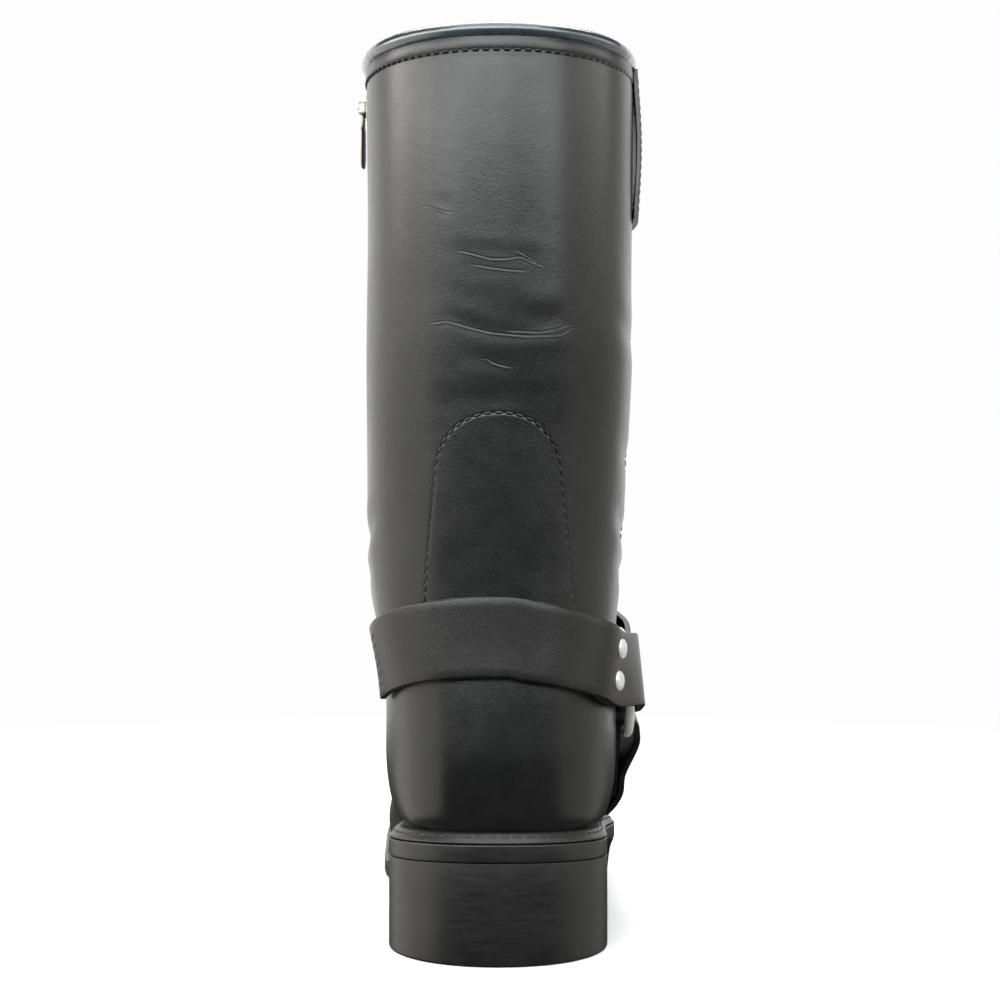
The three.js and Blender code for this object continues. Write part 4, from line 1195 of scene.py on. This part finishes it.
def make_sole():
    def level(height):
        return lambda y: np.full_like(y, height)

    heel = [(.9, level(0)), (.4, level(.12)), (.1, level(.45)), (0, level(1)), (0, level(12)),
            (0, level(22)), (0, over_bottom(-GAP - .3)), (.05, over_bottom(-GAP - .1)),
            (.2, over_bottom(-GAP))]
    piece("heel_block", *plate(heel, sole_shares(HEEL_LENGTH / OUTSOLE_LENGTH, 70)), heel_rubber,
          "sole_rubber", nodes=("heel",), sharp=40)
    tread = [(eased(1.3), over_bottom(0)), (eased(.7), over_bottom(.2)), (eased(.2), over_bottom(.65)),
             (0, over_bottom(1.3)), (0, over_top(-.6)), (.05, over_top(-.25)), (.15, over_top(-.08)),
             (.4, over_top(0))]
    piece("outsole_rubber", *plate(tread, sole_shares()), sole_rubber, "sole_rubber", nodes=("outsole",),
          sharp=40)


def outline(shares, inset):
    y, left, right = sole_edges(shares, inset)
    return np.vstack([np.stack([right, y], 1), np.stack([left, y], 1)[::-1][1:-1]])


def make_welt():
    """A strip round the sole, its inner edge close to the upper, and the stitches on it."""
    shares = sole_shares(1.0, 220)
    base = outline(shares, 4)
    inward = unit(np.roll(base, -1, 0) - np.roll(base, 1, 0)) @ np.array([[0, 1], [-1, 0]])
    inner = []
    for (x, y), (dx, dy) in zip(outline(shares, 0), inward):
        z = float(sole_top(y)) + GAP + 2
        spot, _, _, _ = skin.ray_cast(Vector((x, y, z)), Vector((dx, dy, 0)), 16)
        inner.append((x + dx * 9, y + dy * 9) if spot is None else (spot.x + dx * .9, spot.y + dy * .9))
    inner = np.array(inner)
    profile = [(.5, .02), (.15, .1), (0, .35), (.1, .75), (.6, 1.15), (1.1, 1.7), (1.6, 2.35),
               (2.1, 3.0), (2.7, 3.45), (3.4, 3.6)]
    rings = []
    for inset, rise in profile:
        edge = outline(shares, inset)
        rings.append(np.column_stack([edge, sole_top(edge[:, 1]) + GAP + rise]))
    for rise in (3.55, .02):
        rings.append(np.column_stack([inner, sole_top(inner[:, 1]) + GAP + rise]))
    rings = np.array(rings)
    piece("welt_strip", rings.reshape(-1, 3), quads(len(rings), rings.shape[1], wrap=True, close=True),
          welt_leather, "welt_leather", nodes=("welt",), sharp=60)
    path = rings[6]
    normals = unit(np.cross(np.roll(path, -1, 0) - np.roll(path, 1, 0), rings[7] - rings[5]))
    normals *= np.sign(normals[:, 2:3] + 1e-9)
    row = (np.vstack([path, path[:1]]), np.vstack([normals, normals[:1]]))
    stitches("welt_stitches", [row], 4.3, (3.3, .95, .8), "welt_leather", .05)


def make_insole():
    """A board that fills the upper at the feather, cupped a little at its sides."""
    ys = np.concatenate([[-24.6, -24, -22.5, -20], np.linspace(-16, 246, 60), [250, 254, 256.5, 258]])
    grids = []
    for rise in (INSOLE_THICKNESS, 0):
        rows = []
        for y in ys:
            z = float(sole_top(y)) + GAP + INSOLE_THICKNESS / 2
            middle = -2.5 * np.clip((y - 60) / 100, 0, 1)
            right, left = (skin.ray_cast(Vector((middle, y, z)), Vector((sign, 0, 0)))[0].x
                           - sign * (WALL + .5) for sign in (1, -1))
            share = np.linspace(0, 1, 17)
            x = left + (right - left) * share
            cup = .5 * np.abs(2 * share - 1) ** 4 if rise else 0
            z = float(sole_top(y)) + GAP + rise + cup + 0 * x
            rows.append(np.column_stack([x, np.full(17, y), z]))
        grids.append(np.array(rows))
    piece("insole_board", *slab(*grids), insole_leather, "insole_leather", nodes=("insole",), sharp=50)


make_sole()
make_welt()
make_insole()


# Stitches in the seams of the upper
def on_skin(points, lift=0.0):
    spots, normals = [], []
    for point in points:
        spot, normal = nearest(point)
        spots.append(spot + normal * lift)
        normals.append(normal)
    return np.array(spots), np.array(normals)


def make_stitches():
    arch = counter_line()
    arch = arch[arch[:, 1] > COUNTER_END + 4]
    path = np.array([skin.ray_cast(Vector((x, -120, z)), Vector((0, 1, 0)))[0][:] for x, z in arch])
    stitches("counter_stitches", [on_skin(path, .1)], 3.6, (2.6, 1.05, .9), "upper_leather", .05)
    path = []
    for turn in np.linspace(-math.pi, math.pi, 260):
        start = np.array([0, 28, 300])
        for _ in range(3):
            spot, _ = cast(start, (math.sin(turn), -math.cos(turn), 0))
            start = np.array([0, 28, collar_row(spot[1])])
        path.append(spot)
    path = np.array(path)
    zip_gap = (path[:, 0] < 0) & (np.abs(path[:, 1] - ZIP_FORWARD) < ZIP_SLIT / 2 + 2.5)
    first = int(np.argmax(zip_gap))
    path = np.roll(path, -first, 0)[~np.roll(zip_gap, -first)]
    stitches("collar_stitches", [on_skin(path, .1)], 3.6, (2.5, 1.15, 1.0), "upper_leather", .05)
    heights = np.arange(118, COLLAR_BACK - 2, 2)
    rows = [on_skin([cast((0, side_seam(z) + shift, z), (1, 0, 0))[0] for z in heights])
            for shift in (SIDE_STITCH, -SIDE_STITCH)]
    stitches("side_stitches", rows, 3.4, SEAM_STITCH, "upper_leather", .0)
    heights = np.arange(ZIP_FOOT, COLLAR_BACK - 6, 2)
    rows = [on_skin([cast((0, ZIP_FORWARD + shift, z), (-1, 0, 0))[0] for z in heights])
            for shift in (-ZIP_STITCH, ZIP_STITCH)]
    stitches("zip_stitches", rows, 3.4, SEAM_STITCH, "upper_leather", .0)


make_stitches()


# Floor, light and camera, in metres
CAMERA_PLACE = (.0005, -.586, .1355)
CAMERA_TILT = 92.05
CAMERA_LENS = 59.2
WORLD_LIGHT = .04
WORLD_SEEN = .985
# Each lamp's place, what it points at, its two sides, brightness and tint
LAMPS = {
    "top_box": ((0, -.75, .6), (0, 0, .3), (2.5, .34), 5.4, (.96, 1, 1)),
    "top_left": ((-.5, -.75, .6), (0, 0, .3), (1.6, .34), 1.6, (.97, 1, .98)),
    "dome_box": ((0, -.55, 1.05), (0, 0, .3), (1.2, .5), 2.2, (.95, 1, 1.02)),
    "left_high": ((-1.3, -.05, .72), (0, 0, .3), (1.3, .3), 5.5, (1, .98, .93)),
    "right_high": ((1.3, -.05, .72), (0, 0, .3), (1.3, .3), 2, (1, .99, .95)),
    "over_box": ((0, .25, 1.3), (0, .1, 0), (1.2, 1.0), 6, (1, 1, 1)),
    "left_wall": ((-1.1, .35, .1), (0, .35, .1), (1.9, 1.4), 1.1, (1, .97, .92)),
    "right_wall": ((1.1, .35, .1), (0, .35, .1), (1.9, 1.4), .5, (1, .98, .94)),
    "back_wall": ((0, 1.4, .5), (0, 0, .2), (2.4, 1.2), 1.2, (1, 1, 1)),
}


def make_floor():
    """A pale floor that fades out away from the boot."""
    mesh = bpy.data.meshes.new("floor")
    mesh.from_pydata([(-2, -2, 0), (2, -2, 0), (2, 2, 0), (-2, 2, 0)], [], [(0, 1, 2, 3)])
    floor = placed("floor", mesh)
    s = Shader("floor_white", Base_Color=(.9, .9, .895, 1), Roughness=.75, Specular_IOR_Level=.1)
    away = s.node("ShaderNodeVectorMath", {0: s.place, 1: (0, .1, 0)}, operation="DISTANCE")
    s.feed(s.bsdf.inputs["Alpha"], s.span(away.outputs["Value"], .2, .75, 1, 0))
    mesh.materials.append(s.material)
    floor.visible_glossy = False
    floor.visible_shadow = False


def make_world():
    """White behind the boot, and a little light from all sides."""
    world = bpy.data.worlds.new("studio")
    world.use_nodes = True
    nodes, links = world.node_tree.nodes, world.node_tree.links
    background = nodes["Background"]
    background.inputs["Color"].default_value = (1, 1, 1, 1)
    seen = nodes.new("ShaderNodeLightPath")
    level = nodes.new("ShaderNodeMapRange")
    level.inputs["To Min"].default_value = WORLD_LIGHT
    level.inputs["To Max"].default_value = WORLD_SEEN
    links.new(seen.outputs["Is Camera Ray"], level.inputs["Value"])
    links.new(level.outputs[0], background.inputs["Strength"])
    bpy.context.scene.world = world
    bpy.context.scene.view_settings.view_transform = "Standard"


def make_lamp(name, place, target, size, radiance, tint):
    """A soft box of an even brightness."""
    data = bpy.data.lights.new(name, "AREA")
    data.shape = "RECTANGLE"
    data.size, data.size_y = size
    data.energy = radiance * math.pi * size[0] * size[1]
    data.color = tint
    lamp = placed(name, data)
    lamp.location = place
    lamp.rotation_euler = (Vector(target) - Vector(place)).to_track_quat("-Z", "Y").to_euler()
    lamp.visible_camera = False


def make_camera():
    data = bpy.data.cameras.new("camera")
    data.sensor_width = 36
    data.lens = CAMERA_LENS
    camera = placed("camera", data)
    camera.location = CAMERA_PLACE
    camera.rotation_euler = (math.radians(CAMERA_TILT), 0, 0)
    bpy.context.scene.camera = camera


make_floor()
make_world()
for name, lamp in LAMPS.items():
    make_lamp(name, *lamp)
make_camera()
